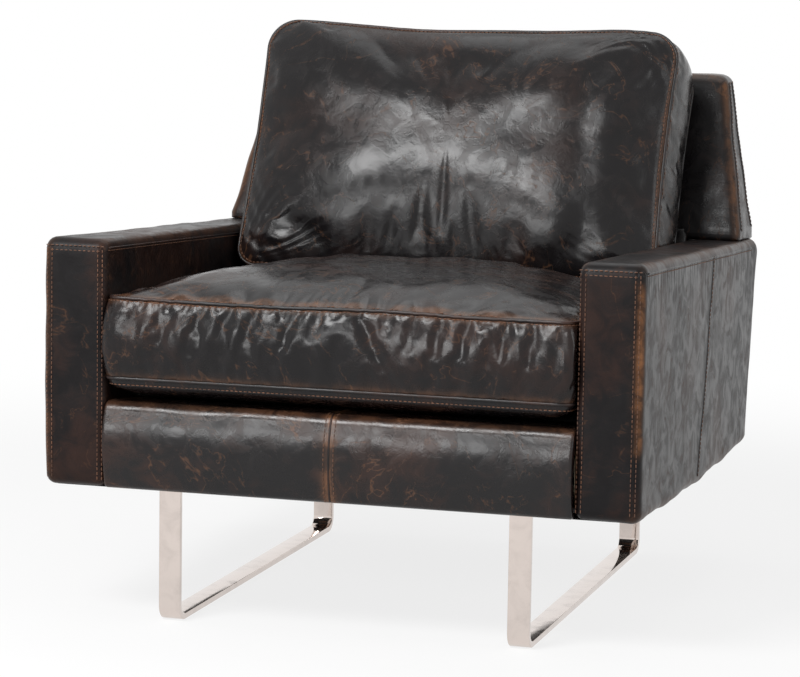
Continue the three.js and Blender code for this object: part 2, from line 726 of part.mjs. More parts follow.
/** Plan of a cushion: sides that bow inwards and rounded corners, anticlockwise. */
function cushionPlan({ half, low, high, lowCorner, highCorner, counts }) {
  const side = (from, to, pullX, pullY, count) => {
    const middle = from.clone().add(to).multiplyScalar(0.5).add(point(pullX, pullY));
    return new THREE.QuadraticBezierCurve(from, middle, to).getSpacedPoints(count).slice(0, -1);
  };
  const turn = (from, corner, to) => new THREE.QuadraticBezierCurve(from, corner, to)
    .getSpacedPoints(counts.corner).slice(0, -1);
  const pull = 2 * cushionPull;
  return [
    ...side(point(-half + lowCorner, low), point(half - lowCorner, low), 0, pull, counts.low),
    ...turn(point(half - lowCorner, low), point(half, low), point(half, low + lowCorner)),
    ...side(point(half, low + lowCorner), point(half, high - highCorner), -pull, 0, counts.side),
    ...turn(point(half, high - highCorner), point(half, high), point(half - highCorner, high)),
    ...side(point(half - highCorner, high), point(-half + highCorner, high), 0, -pull, counts.high),
    ...turn(point(-half + highCorner, high), point(-half, high), point(-half, high - highCorner)),
    ...side(point(-half, high - highCorner), point(-half, low + lowCorner), pull, 0, counts.side),
    ...turn(point(-half, low + lowCorner), point(-half, low), point(-half + lowCorner, low)),
  ];
}

/** Rise of a stuffed panel from its seam to its middle, for a ring of a given scale. */
const crownRise = (scale, fullness) => (1 - scale ** fullness) ** (2 / fullness);

/** Stations of a cushion from its under panel over the boxing to its crown. */
function cushionStations({ sizes, under, boxing, over, drawnIn }) {
  const { base, lowerSeam, upperSeam, crown, fullness } = sizes;
  const stations = under.map((scale) => ({
    scale, push: -drawnIn, level: lowerSeam - (lowerSeam - base) * crownRise(scale, underFullness),
  }));
  for (const t of boxing) {
    const atSeam = t === 0 || t === 1;
    const push = (atSeam ? seamRidge : boxingBelly * Math.sin(Math.PI * t) - seamDip) - drawnIn;
    stations.push({ scale: 1, push, level: lowerSeam + (upperSeam - lowerSeam) * t, t });
  }
  for (const scale of over) {
    stations.push({ scale, push: -drawnIn, level: upperSeam + crown * crownRise(scale, fullness) });
  }
  return stations;
}

/** Sizes of the filling of a cushion: its cover's sizes less the wall, drawn in by a play. */
function fillingSizes({ base, lowerSeam, upperSeam, crown, fullness }, drawnIn) {
  const wall = coverWall / 2 + drawnIn;
  return {
    base: base + wall, lowerSeam: lowerSeam + drawnIn / 2, upperSeam: upperSeam - drawnIn / 2,
    crown: crown - wall, fullness,
  };
}

/** Cushion form: its plan carried through its stations, then bent by a given rule. */
function cushionForm(plan, stations, bend) {
  const xs = plan.map((p) => p.x);
  const ys = plan.map((p) => p.y);
  const middle = point((Math.min(...xs) + Math.max(...xs)) / 2, (Math.min(...ys) + Math.max(...ys)) / 2);
  const size = point((Math.max(...xs) - Math.min(...xs)) / 2, (Math.max(...ys) - Math.min(...ys)) / 2);
  return loft(stations.map(({ scale, push, level: height, t }) => plan.map((p) => {
    const x = middle.x + (p.x - middle.x) * (scale + push / size.x);
    const y = middle.y + (p.y - middle.y) * (scale + push / size.y);
    return bend(new THREE.Vector3(x, y, height), t);
  })));
}

/** Upright gathers in the front boxing, deepest under the top seam and towards both ends. */
function gather(x, t) {
  const near = (centre) => Math.exp(-(((x - centre) / gatherSpread) ** 2));
  const group = Math.max(near(gatherLeft), near(gatherRight));
  const fade = Math.sin(Math.PI * t) * (gatherFoot + (1 - gatherFoot) * t);
  const wave = Math.cos((2 * Math.PI * (x + gatherLean * (1 - t))) / gatherPitch);
  return gatherDepth * fade * wave * (gatherQuiet + (1 - gatherQuiet) * group);
}

/** Lowers a point of the seat cushion to where the back cushion rests on it. */
function pressed(p, margin) {
  const pitch = THREE.MathUtils.degToRad(seatPitchDeg);
  const y = p.y * Math.cos(pitch) + p.z * Math.sin(pitch) - deckRear;
  const z = p.z * Math.cos(pitch) - p.y * Math.sin(pitch);
  const over = y * Math.sin(backRake) + z * Math.cos(backRake) - backCushionBottom + fit + margin;
  if (over > 0) p.z -= over / Math.cos(backRake - pitch);
  return p;
}

// Points round a filling's plan, and its stations under, beside and over it.
const fillingCounts = { low: 4, side: 3, high: 4, corner: 1 };
const fillingRings = { under: [0.5, 0.9], boxing: [0, 0.5, 1], over: [0.9, 0.5] };

/** Slot left for a zip across a cushion's boxing, at a given edge and level. */
function zipSlot(edge, height) {
  const slot = new THREE.BoxGeometry(2 * zipHalfLength, zipReach, zipHeight);
  slot.translate(0, edge, height);
  return slot;
}

/** Seat cushion: a sewn leather cover with its zip opening behind, and the foam in it. */
function addSeatCushion() {
  const plan = (counts) => cushionPlan({
    half: bodyHalf - cushionPull / 2, low: seatFront, high: seatRear,
    lowCorner: seatCorner, highCorner: seatCorner, counts,
  });
  const sizes = {
    base: fit, lowerSeam: seatLowerSeam, upperSeam: seatUpperSeam, crown: seatCrown,
    fullness: seatFullness,
  };
  const lean = (p) => {
    p.y += seatLean * (p.z / seatUpperSeam) * Math.max(0, 1 - p.y / seatRear);
    return p;
  };
  const outerStations = cushionStations({
    sizes, under: [0.5, 0.86, 0.97], boxing: [0, 0.08, 0.34, 0.62, 0.9, 1],
    over: [0.97, 0.88, 0.7, 0.4], drawnIn: 0,
  });
  const skin = cushionForm(plan({ low: 52, side: 9, high: 10, corner: 3 }), outerStations, (p, t) => {
    if (t > 0 && t < 1 && p.y < seatFront + seatCorner) p.y -= gather(p.x, t);
    p.x = THREE.MathUtils.clamp(p.x, -bodyHalf, bodyHalf);
    return pressed(lean(p), 0);
  });
  const filling = (drawnIn) => cushionForm(plan(fillingCounts), cushionStations({
    ...fillingRings, sizes: fillingSizes(sizes, drawnIn), drawnIn: coverWall + drawnIn,
  }), (p) => pressed(lean(p), coverWall / 2 + drawnIn));
  const slot = zipSlot(seatRear, (seatLowerSeam + seatUpperSeam) / 2);
  const cover = add('seat_cushion_cover', cut(skin, filling(0), slot), leatherLook);
  const foam = add('seat_cushion_foam', filling(fit), foamLook);
  for (const mesh of [cover, foam]) {
    mesh.rotation.x = -THREE.MathUtils.degToRad(seatPitchDeg);
    mesh.position.set(0, 0, deckFrontHeight);
  }
}

/** Back cushion: a fuller, softer cushion that leans on the inside back. */
function addBackCushion() {
  const plan = (counts) => cushionPlan({
    half: backCushionHalfWidth, low: backCushionBottom, high: backCushionTop,
    lowCorner: backLowerCorner, highCorner: backUpperCorner, counts,
  });
  const slump = (p) => {
    const share = (p.x / backCushionHalfWidth + 1) / 2;
    const height = (p.y - backCushionBottom) / (backCushionTop - backCushionBottom);
    return p.setY(p.y - backSlump * share ** 3 * Math.max(height, 0) ** 2);
  };
  const settled = (p, margin) => slump(p).setY(Math.max(p.y, backCushionBottom + margin));
  const sizes = {
    base: fit, lowerSeam: backRearSeam, upperSeam: backFrontSeam, crown: backCrown,
    fullness: backFullness,
  };
  const skin = cushionForm(plan({ low: 14, side: 10, high: 18, corner: 4 }), cushionStations({
    sizes, under: [0.5, 0.88], boxing: [0, 0.2, 0.5, 0.93, 1], over: [0.97, 0.9, 0.78, 0.58, 0.3], drawnIn: 0,
  }), (p) => settled(p, 0));
  const filling = (drawnIn) => cushionForm(plan(fillingCounts), cushionStations({
    ...fillingRings, sizes: fillingSizes(sizes, drawnIn), drawnIn: coverWall + drawnIn,
  }), (p) => settled(p, coverWall / 2 + drawnIn));
  const slot = zipSlot(backCushionBottom, (backRearSeam + backFrontSeam) / 2);
  const cover = add('back_cushion_cover', cut(skin, filling(0), slot), leatherLook);
  const fill = add('back_cushion_filling', filling(fit), foamLook);
  for (const mesh of [cover, fill]) {
    mesh.rotation.x = Math.PI / 2 - backRake;
    mesh.position.set(0, deckRear, deckFrontHeight);
  }
}

/** Side view of a sled leg: the bent bar and the strap that closes it under the body. */
function legOutline() {
  const strapTop = (y) => underside(y) - dustCloth - 2 * fit;
  const outer = [point(legFront, 0), point(legRear, 0), point(legRear, strapTop(legRear)),
    point(legFront, strapTop(legFront))];
  const inFront = legFront + barThickness;
  const inRear = legRear - barThickness;
  const inner = [point(inFront, barThickness), point(inRear, barThickness),
    point(inRear, strapTop(inRear) - legStrap), point(inFront, strapTop(inFront) - legStrap)];
  const shape = outline(outer, [bendRadius, bendRadius, 0, 0]);
  const tight = bendRadius - barThickness;
  shape.holes.push(outline(inner, [tight, tight, 0, 0]));
  return shape;
}

/** Pan-head screw through a leg's strap into its corner block. */
function addLegScrew(name, side, y) {
  const head = underside(y) - dustCloth - 2 * fit - legStrap - fit;
  const profile = [point(0, -screwHeadHeight), point(screwHeadFlat, -screwHeadHeight), point(screwHead, 0),
    point(screwRadius, 0), point(screwRadius, screwLength), point(0, screwLength)];
  const screw = new THREE.LatheGeometry(profile, 8);
  screw.rotateX(Math.PI / 2);
  add(name, screw, steelLook).position.set(side * legCentre, y, head);
}

/** Sled legs, their screws and the dust cloth that closes the underside. */
function addLegs() {
  const bores = [];
  for (const [side, word] of [[-1, 'left'], [1, 'right']]) {
    const own = [1, -1].map((towards) => screwBore(side, screwY(towards)));
    bores.push(...own);
    const bar = onSide(side, legOutline(), legCentre - barWidth / 2, legCentre + barWidth / 2);
    add(`sled_leg_${word}`, cut(bar, ...own), chromeLook);
    addLegScrew(`leg_screw_front_${word}`, side, screwY(1));
    addLegScrew(`leg_screw_rear_${word}`, side, screwY(-1));
  }
  const rear = bodyDepth - dustBorder;
  const sheet = outline([
    point(dustBorder, underside(dustBorder) - dustCloth - fit),
    point(rear, underside(rear) - dustCloth - fit),
    point(rear, underside(rear) - fit),
    point(dustBorder, underside(dustBorder) - fit),
  ]);
  const half = chairWidth / 2 - dustBorder;
  add('dust_cloth', cut(acrossX(sheet, -half, half), ...bores), clothLook);
}

addSeatBox();
addSprings();
addRailAndDeck();
addArm(-1, 'left');
addArm(1, 'right');
addBackFrame();
addBackPadding();
addBackCovers();
addSeatCushion();
addBackCushion();
addLegs();

// The origin stands midway between the foremost and the rearmost point of the chair.
const room = new THREE.Box3().setFromObject(chair, true);
chair.position.y = -(room.min.y + room.max.y) / 2;
const model = new THREE.Group();
model.add(chair);

export default model;
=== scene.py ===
"""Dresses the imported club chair: worn glossy leather, stuffed cushions, stitching and sled legs.

Shapes are worked out in millimetres with y measured back from the arm fronts, and are then
placed in the row frame in metres.
"""
import json

import bmesh
import bpy
import numpy as np
from mathutils import Matrix, Vector


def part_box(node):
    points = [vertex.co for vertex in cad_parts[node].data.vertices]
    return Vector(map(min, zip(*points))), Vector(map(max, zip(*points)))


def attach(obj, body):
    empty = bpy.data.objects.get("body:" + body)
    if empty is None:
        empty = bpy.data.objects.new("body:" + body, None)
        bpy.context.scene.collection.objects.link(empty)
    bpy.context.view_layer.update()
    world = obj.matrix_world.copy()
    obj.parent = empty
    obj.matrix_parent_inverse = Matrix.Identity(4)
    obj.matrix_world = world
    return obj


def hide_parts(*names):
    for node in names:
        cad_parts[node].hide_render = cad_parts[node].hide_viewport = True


bl_info = {
    "name": "Worn club chair",
    "version": (1, 0, 0),
    "blender": (4, 5, 0),
    "location": "3D View > Sidebar > Club Chair",
    "description": "Leather covers, cushions, stitching and legs for the packed club chair",
    "category": "Add Mesh",
}

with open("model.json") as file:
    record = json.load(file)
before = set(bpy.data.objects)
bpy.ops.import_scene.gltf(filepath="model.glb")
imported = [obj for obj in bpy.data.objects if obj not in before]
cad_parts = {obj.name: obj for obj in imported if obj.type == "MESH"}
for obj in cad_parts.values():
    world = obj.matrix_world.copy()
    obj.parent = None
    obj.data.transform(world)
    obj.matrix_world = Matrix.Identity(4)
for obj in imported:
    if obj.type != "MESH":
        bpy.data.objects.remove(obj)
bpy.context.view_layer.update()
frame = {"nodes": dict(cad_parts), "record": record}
ARM_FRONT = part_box("arm_cover_left")[0].y
ARM_INNER = 1000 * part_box("arm_cover_right")[0].x
ARM_OUTER = 1000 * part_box("arm_cover_right")[1].x

# Lines of the side view, as in the solids: heights and depths in millimetres.
DECK_FRONT = 301.0
DECK_REAR = 627.2
ARM_HEIGHT = 515.0
BODY_DEPTH = 767.5
FOOT_HEIGHT = 184.0
BACK_TOP = 713.0
WING_HEIGHT = 487.0
WING_HALF = 395.0
ARM_PITCH = np.tan(np.radians(3.1))
BODY_PITCH = np.tan(np.radians(0.9))
REAR_RAKE = np.tan(np.radians(9.8))
BACK_RAKE = np.radians(24.0)
WING_TAPER = np.tan(np.radians(10.8))
SEAT_PITCH = np.radians(3.1)
BODY_HALF = ARM_INNER - 0.3
RAIL_SEAM = -4.3

# Cushions in their own frames: reach, seam heights, crown and fullness of the top panel.
SEAT_NOSE, SEAT_DEPTH = -14.0, 619.0
SEAT_LOW_SEAM, SEAT_TOP_SEAM, SEAT_CROWN, SEAT_FULLNESS = 32.0, 136.0, 38.0, 2.3
BACK_HALF, BACK_FOOT, BACK_HEAD = 312.0, 91.6, 452.6
BACK_LOW_SEAM, BACK_TOP_SEAM, BACK_CROWN, BACK_FULLNESS = 36.0, 166.0, 43.0, 3.0

# Sled legs and dust cloth: distances across and back, and the flat bar's section.
LEG_PLACE, LEG_FRONT, LEG_REAR = 241.0, 40.0, 728.0
BAR_WIDTH, BAR_THICKNESS, BAR_BEND, STRAP_THICKNESS = 30.0, 8.0, 22.0, 4.0
CLOTH_HALF, CLOTH_FRONT, CLOTH_REAR = 391.0, 14.0, 753.5


def underside(y):
    """Height of the body's underside at a depth."""
    return FOOT_HEIGHT - y * BODY_PITCH


def arm_top(y):
    """Height of the arm tops at a depth."""
    return ARM_HEIGHT - y * ARM_PITCH


def deck_top(y):
    """Height of the seat deck at a depth."""
    return DECK_FRONT - y * ARM_PITCH


def rear_face(z):
    """Depth of the raked rear face at a height."""
    return BODY_DEPTH + (z - underside(BODY_DEPTH)) * REAR_RAKE


def inside_back(z):
    """Depth of the inside back's leather at a height."""
    return DECK_REAR + (z - DECK_FRONT) * np.tan(BACK_RAKE)


def wing_half(z):
    """Half the back's width at a height."""
    return WING_HALF - (z - WING_HEIGHT) * WING_TAPER


class ChairSizes(bpy.types.PropertyGroup):
    """Sizes of the sewing, the stuffing and the legs' edges."""
    stitch_pitch: bpy.props.FloatProperty(
        name="Stitch pitch", description="Distance from one stitch to the next",
        default=0.0062, min=0.003, max=0.02, unit="LENGTH")
    stitch_length: bpy.props.FloatProperty(
        name="Stitch length", description="Length of thread that shows in one stitch",
        default=0.0044, min=0.002, max=0.015, unit="LENGTH")
    thread_radius: bpy.props.FloatProperty(
        name="Thread radius", description="Radius of the sewing thread",
        default=0.00066, min=0.0002, max=0.002, unit="LENGTH")
    row_gap: bpy.props.FloatProperty(
        name="Row gap", description="Distance between the two rows of a double-needle seam",
        default=0.0064, min=0.002, max=0.02, unit="LENGTH")
    welt_radius: bpy.props.FloatProperty(
        name="Welt radius", description="Radius of the folded edge along the cushions' seams",
        default=0.0024, min=0.001, max=0.006, unit="LENGTH")
    stuffing: bpy.props.FloatProperty(
        name="Stuffing pressure", description="Air pressure that plumps the cushions",
        default=3.0, min=0.0, max=10.0)
    plump: bpy.props.FloatProperty(
        name="Plump limit", description="About twice the furthest move of the stuffed leather",
        default=0.022, min=0.0, max=0.03, unit="LENGTH")
    arm_sag: bpy.props.FloatProperty(
        name="Arm sag", description="Droop of the arm covers' lower edge",
        default=0.009, min=0.0, max=0.02, unit="LENGTH")
    bar_edge: bpy.props.FloatProperty(
        name="Bar edge", description="Rounding of the flat bar's edges",
        default=0.0009, min=0.0002, max=0.003, unit="LENGTH")


class ChairColours(bpy.types.PropertyGroup):
    """Colours of the leather, thread, metal and inner materials."""
    leather_dark: bpy.props.FloatVectorProperty(
        name="Dark leather", description="Leather where the finish is whole",
        default=(0.0060, 0.0051, 0.0055), size=3, subtype="COLOR", min=0.0, max=1.0)
    leather_brown: bpy.props.FloatVectorProperty(
        name="Brown leather", description="Leather where the dark finish has rubbed thin",
        default=(0.050, 0.0185, 0.0100), size=3, subtype="COLOR", min=0.0, max=1.0)
    leather_bare: bpy.props.FloatVectorProperty(
        name="Bare leather", description="Leather on rubbed edges and in scratches",
        default=(0.26, 0.115, 0.050), size=3, subtype="COLOR", min=0.0, max=1.0)
    thread: bpy.props.FloatVectorProperty(
        name="Thread", description="Sewing thread",
        default=(0.14, 0.058, 0.028), size=3, subtype="COLOR", min=0.0, max=1.0)
    chrome: bpy.props.FloatVectorProperty(
        name="Chrome", description="Plated flat bar",
        default=(0.68, 0.60, 0.555), size=3, subtype="COLOR", min=0.0, max=1.0)
    wood: bpy.props.FloatVectorProperty(
        name="Hardwood", description="Sawn wood of the inner frame",
        default=(0.40, 0.23, 0.11), size=3, subtype="COLOR", min=0.0, max=1.0)
    cloth: bpy.props.FloatVectorProperty(
        name="Lining cloth", description="Dust cloth, deck pad and straps",
        default=(0.012, 0.012, 0.013), size=3, subtype="COLOR", min=0.0, max=1.0)


def sizes():
    """The sizes set on the scene."""
    return bpy.context.scene.club_chair_sizes


def colours():
    """The colours set on the scene."""
    return bpy.context.scene.club_chair_colours


# Surfaces

NO_TRIANGLES = np.zeros((0, 3), int)


def in_frame(points):
    """Millimetres behind the arm fronts, as metres in the row frame."""
    return np.asarray(points, float) / 1000 + np.array([0.0, ARM_FRONT, 0.0])


def smooth(t):
    """Rises from 0 to 1 with level ends as t goes from 0 to 1."""
    t = np.clip(t, 0, 1)
    return t * t * (3 - 2 * t)


def bell(value, middle, width):
    """Bell curve: 1 at the middle, 0.37 a width to either side, and soon 0 beyond."""
    return np.exp(-((value - middle) / width) ** 2)


def unit(vectors):
    """Vectors over their lengths; one without a length stays nought."""
    return vectors / np.maximum(np.linalg.norm(vectors, axis=-1, keepdims=True), 1e-9)


def undulation(points, wavelength, seed, waves=9):
    """Gentle unevenness, mostly within 1.4 of nought: a sum of sine waves in seeded directions."""
    rng = np.random.default_rng(seed)
    directions = unit(rng.normal(size=(waves, 3)))
    lengths = wavelength * rng.uniform(0.6, 1.6, waves)
    phases = rng.uniform(0, 2 * np.pi, waves)
    turns = points @ directions.T * (2 * np.pi / lengths) + phases
    return np.sin(turns).sum(-1) / np.sqrt(waves)


def mesh_piece(name, form, material):
    """A piece at the origin from a form: points in mm, four-cornered and three-cornered faces."""
    points, quads, triangles = form
    mesh = bpy.data.meshes.new(name)
    mesh.from_pydata(in_frame(points).tolist(), [], quads.tolist() + triangles.tolist())
    mesh.validate()
    mesh.polygons.foreach_set("use_smooth", np.ones(len(mesh.polygons), bool))
    mesh.materials.append(material)
    mesh.update()
    piece = bpy.data.objects.new(name, mesh)
    bpy.context.scene.collection.objects.link(piece)
    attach(piece, "root")
    return piece


def ring_faces(stations, around):
    """Faces of stacked closed rings, with a point after the last ring closing each end."""
    base = np.arange(stations - 1)[:, None] * around
    here = np.arange(around)[None, :]
    after = (here + 1) % around
    quads = np.stack([base + here, base + after, base + around + after, base + around + here], -1)
    last = (stations - 1) * around
    ends = stations * around
    ring = np.arange(around)
    following = (ring + 1) % around
    first = np.stack([np.full(around, ends), following, ring], -1)
    final = np.stack([np.full(around, ends + 1), last + ring, last + following], -1)
    return quads.reshape(-1, 4), np.concatenate([first, final])


def closed_rings(rings):
    """Form of rings (stations, around, 3) in mm, with the middle of each end ring closing it."""
    points = np.concatenate([rings.reshape(-1, 3), rings[:1].mean(1), rings[-1:].mean(1)])
    return points, *ring_faces(*rings.shape[:2])


def joined(parts):
    """Several forms as one, each one's faces counted on from the points before it."""
    starts = np.cumsum([0] + [len(points) for points, _, _ in parts])
    quads = [quads + start for (_, quads, _), start in zip(parts, starts)]
    triangles = [triangles + start for (_, _, triangles), start in zip(parts, starts)]
    points = [points for points, _, _ in parts]
    return np.concatenate(points), np.concatenate(quads), np.concatenate(triangles)


def grid_faces(rows, columns):
    """Four-cornered faces of an open grid whose points run along its rows."""
    base = np.arange(rows - 1)[:, None] * columns
    here = np.arange(columns - 1)[None, :]
    quads = [base + here, base + here + 1, base + columns + here + 1, base + columns + here]
    return np.stack(quads, -1).reshape(-1, 4)


def ring_normals(rings):
    """Outward directions on stacked rings: the cross product of the way round and the way up."""
    along = np.roll(rings, -1, 1) - np.roll(rings, 1, 1)
    up = np.gradient(rings, axis=0)
    return unit(np.cross(along, up))


def shell(name, rings, material, marks=None):
    """Closed skin through rings (stations, around, 3) in mm; marks are values kept per point."""
    piece = mesh_piece(name, closed_rings(rings), material)
    for mark, values in (marks or {}).items():
        keep_mark(piece, mark, np.concatenate([values.reshape(-1), values[0, :1], values[-1, :1]]))
    return piece


def keep_mark(piece, mark, values):
    """Keeps one number per point on a piece, for its material to read."""
    layer = piece.data.attributes.new(mark, "FLOAT", "POINT")
    layer.data.foreach_set("value", values.astype(np.float32))


def leather_marks(wear, pucker=0.0, grime=0.0):
    """The three marks that the leather reads; a plain number is spread over all the points."""
    marks = {"wear": wear, "pucker": pucker, "grime": grime}
    return {mark: np.broadcast_to(values, wear.shape) for mark, values in marks.items()}


def add_wall(piece, thickness, offset):
    """Gives an open surface a wall; offset -1 lays it inwards and 0 to both sides."""
    wall = piece.modifiers.new("wall", "SOLIDIFY")
    wall.thickness, wall.offset = thickness, offset


def rounded_outline(corners, radii, spacing):
    """Closed outline through corners: arcs of each radius joined by evenly divided edges.

    Returns its points and its outward directions, both (n, 2), anticlockwise.
    """
    corners = np.asarray(corners, float)
    count = len(corners)
    points, normals, ends = [], [], []
    for i, corner in enumerate(corners):
        before = unit(corners[i - 1] - corner)
        after = unit(corners[(i + 1) % count] - corner)
        half = np.arccos(np.clip(before @ after, -1, 1)) / 2
        radius = radii[i]
        centre = corner + unit(before + after) * radius / np.sin(half)
        start = np.array([before[1], -before[0]])
        sweep = np.pi - 2 * half
        angles = np.linspace(0, sweep, max(int(radius * sweep / 4) + 2, 4))
        cos, sin = np.cos(angles), np.sin(angles)
        arc = np.stack([start[0] * cos - start[1] * sin, start[0] * sin + start[1] * cos], -1)
        outward = arc if arc[0] @ (corner - centre) > 0 else -arc
        ends.append((centre + radius * outward, outward))
    for i in range(count):
        arc, outward = ends[i]
        points.append(arc)
        normals.append(outward)
        gap = ends[(i + 1) % count][0][0] - arc[-1]
        steps = max(int(np.linalg.norm(gap) / spacing), 1)
        t = np.arange(1, steps)[:, None] / steps
        points.append(arc[-1] + gap * t)
        normals.append(np.repeat(outward[-1:], steps - 1, 0))
    return np.concatenate(points), np.concatenate(normals)


# Sewing


def even_path(path, pitch):
    """Points at an even pitch along a path (n, 3), with the unit way along it at each."""
    lengths = np.r_[0, np.cumsum(np.linalg.norm(np.diff(path, axis=0), axis=1))]
    at = np.linspace(0, lengths[-1], max(int(lengths[-1] / pitch), 2) + 1)
    points = np.stack([np.interp(at, lengths, path[:, k]) for k in range(3)], -1)
    return points, unit(np.gradient(points, axis=0))


def matched(values, path, points):
    """Rows of values (n, 3) that belong to a path, taken at the nearest path point."""
    distance = np.linalg.norm(points[:, None] - path[None], axis=2)
    return values[distance.argmin(1)]


def cord_shape(path, outward, radius, sides=8, closed=True):
    """Round cord along a path: rings of a circle in the plane of outward and across."""
    along = unit(np.roll(path, -1, 0) - np.roll(path, 1, 0) if closed else np.gradient(path, axis=0))
    across = unit(np.cross(along, outward))
    up = np.cross(across, along)
    angles = np.arange(sides) * 2 * np.pi / sides
    rings = path[:, None] + radius * (
        np.cos(angles)[None, :, None] * across[:, None] + np.sin(angles)[None, :, None] * up[:, None])
    count = len(path)
    here = np.arange(count if closed else count - 1)[:, None] * sides
    there = (here + sides) % (count * sides)
    side = np.arange(sides)[None, :]
    turned = (side + 1) % sides
    quads = np.stack([here + side, there + side, there + turned, here + turned], -1).reshape(-1, 4)
    points = rings.reshape(-1, 3)
    triangles = NO_TRIANGLES
    if not closed:
        ends = len(points)
        points = np.concatenate([points, path[:1], path[-1:]])
        ring = np.arange(sides)
        following = (ring + 1) % sides
        last = (count - 1) * sides
        triangles = np.concatenate([
            np.stack([np.full(sides, ends), ring, following], -1),
            np.stack([np.full(sides, ends + 1), last + following, last + ring], -1)])
    return points, quads, triangles


def stitch_shape(points, along, outward, length, radius):
    """Short capsules of thread at each point: one small template, placed by each one's frame."""
    sides = 6
    across = unit(np.cross(along, outward))
    up = np.cross(across, along)
    angles = np.arange(sides) * 2 * np.pi / sides
    stations = np.array([[-0.5, 0.45], [-0.3, 1.0], [0.3, 1.0], [0.5, 0.45]])
    template = np.array([[s * length, r * radius * np.cos(a), r * radius * np.sin(a)]
                         for s, r in stations for a in angles])
    placed = (points[:, None] + template[None, :, :1] * along[:, None]
              + template[None, :, 1:2] * across[:, None] + template[None, :, 2:] * up[:, None])
    each = len(template)
    base = (np.arange(len(stations) - 1) * sides)[:, None]
    here = np.arange(sides)[None, :]
    after = (here + 1) % sides
    quads = np.stack([base + here, base + sides + here, base + sides + after, base + after], -1)
    quads = quads.reshape(-1, 4)
    # Each end of a six-sided capsule is closed by two four-cornered faces.
    caps = np.array([[0, 1, 2, 3], [0, 3, 4, 5], [21, 20, 19, 18], [23, 22, 21, 18]])
    faces = np.concatenate([quads, caps])
    starts = (np.arange(len(points)) * each)[:, None, None]
    return placed.reshape(-1, 3), (faces[None] + starts).reshape(-1, 4), NO_TRIANGLES


def sew(name, rows):
    """Rows of stitches as one piece; each row is a path and its outward directions, in mm."""
    s = sizes()
    parts = []
    for path, outward in rows:
        points, along = even_path(path, 1000 * s.stitch_pitch)
        up = matched(outward, path, points)
        parts.append(stitch_shape(points, along, up, 1000 * s.stitch_length, 1000 * s.thread_radius))
    mesh_piece(name, joined(parts), thread_look())


def cords(name, runs, radius, material, closed=True):
    """Welts or seam folds as one piece, each run a path and its outward directions, in mm."""
    parts = [cord_shape(path, outward, radius, closed=closed) for path, outward in runs]
    mesh_piece(name, joined(parts), material)


# Materials


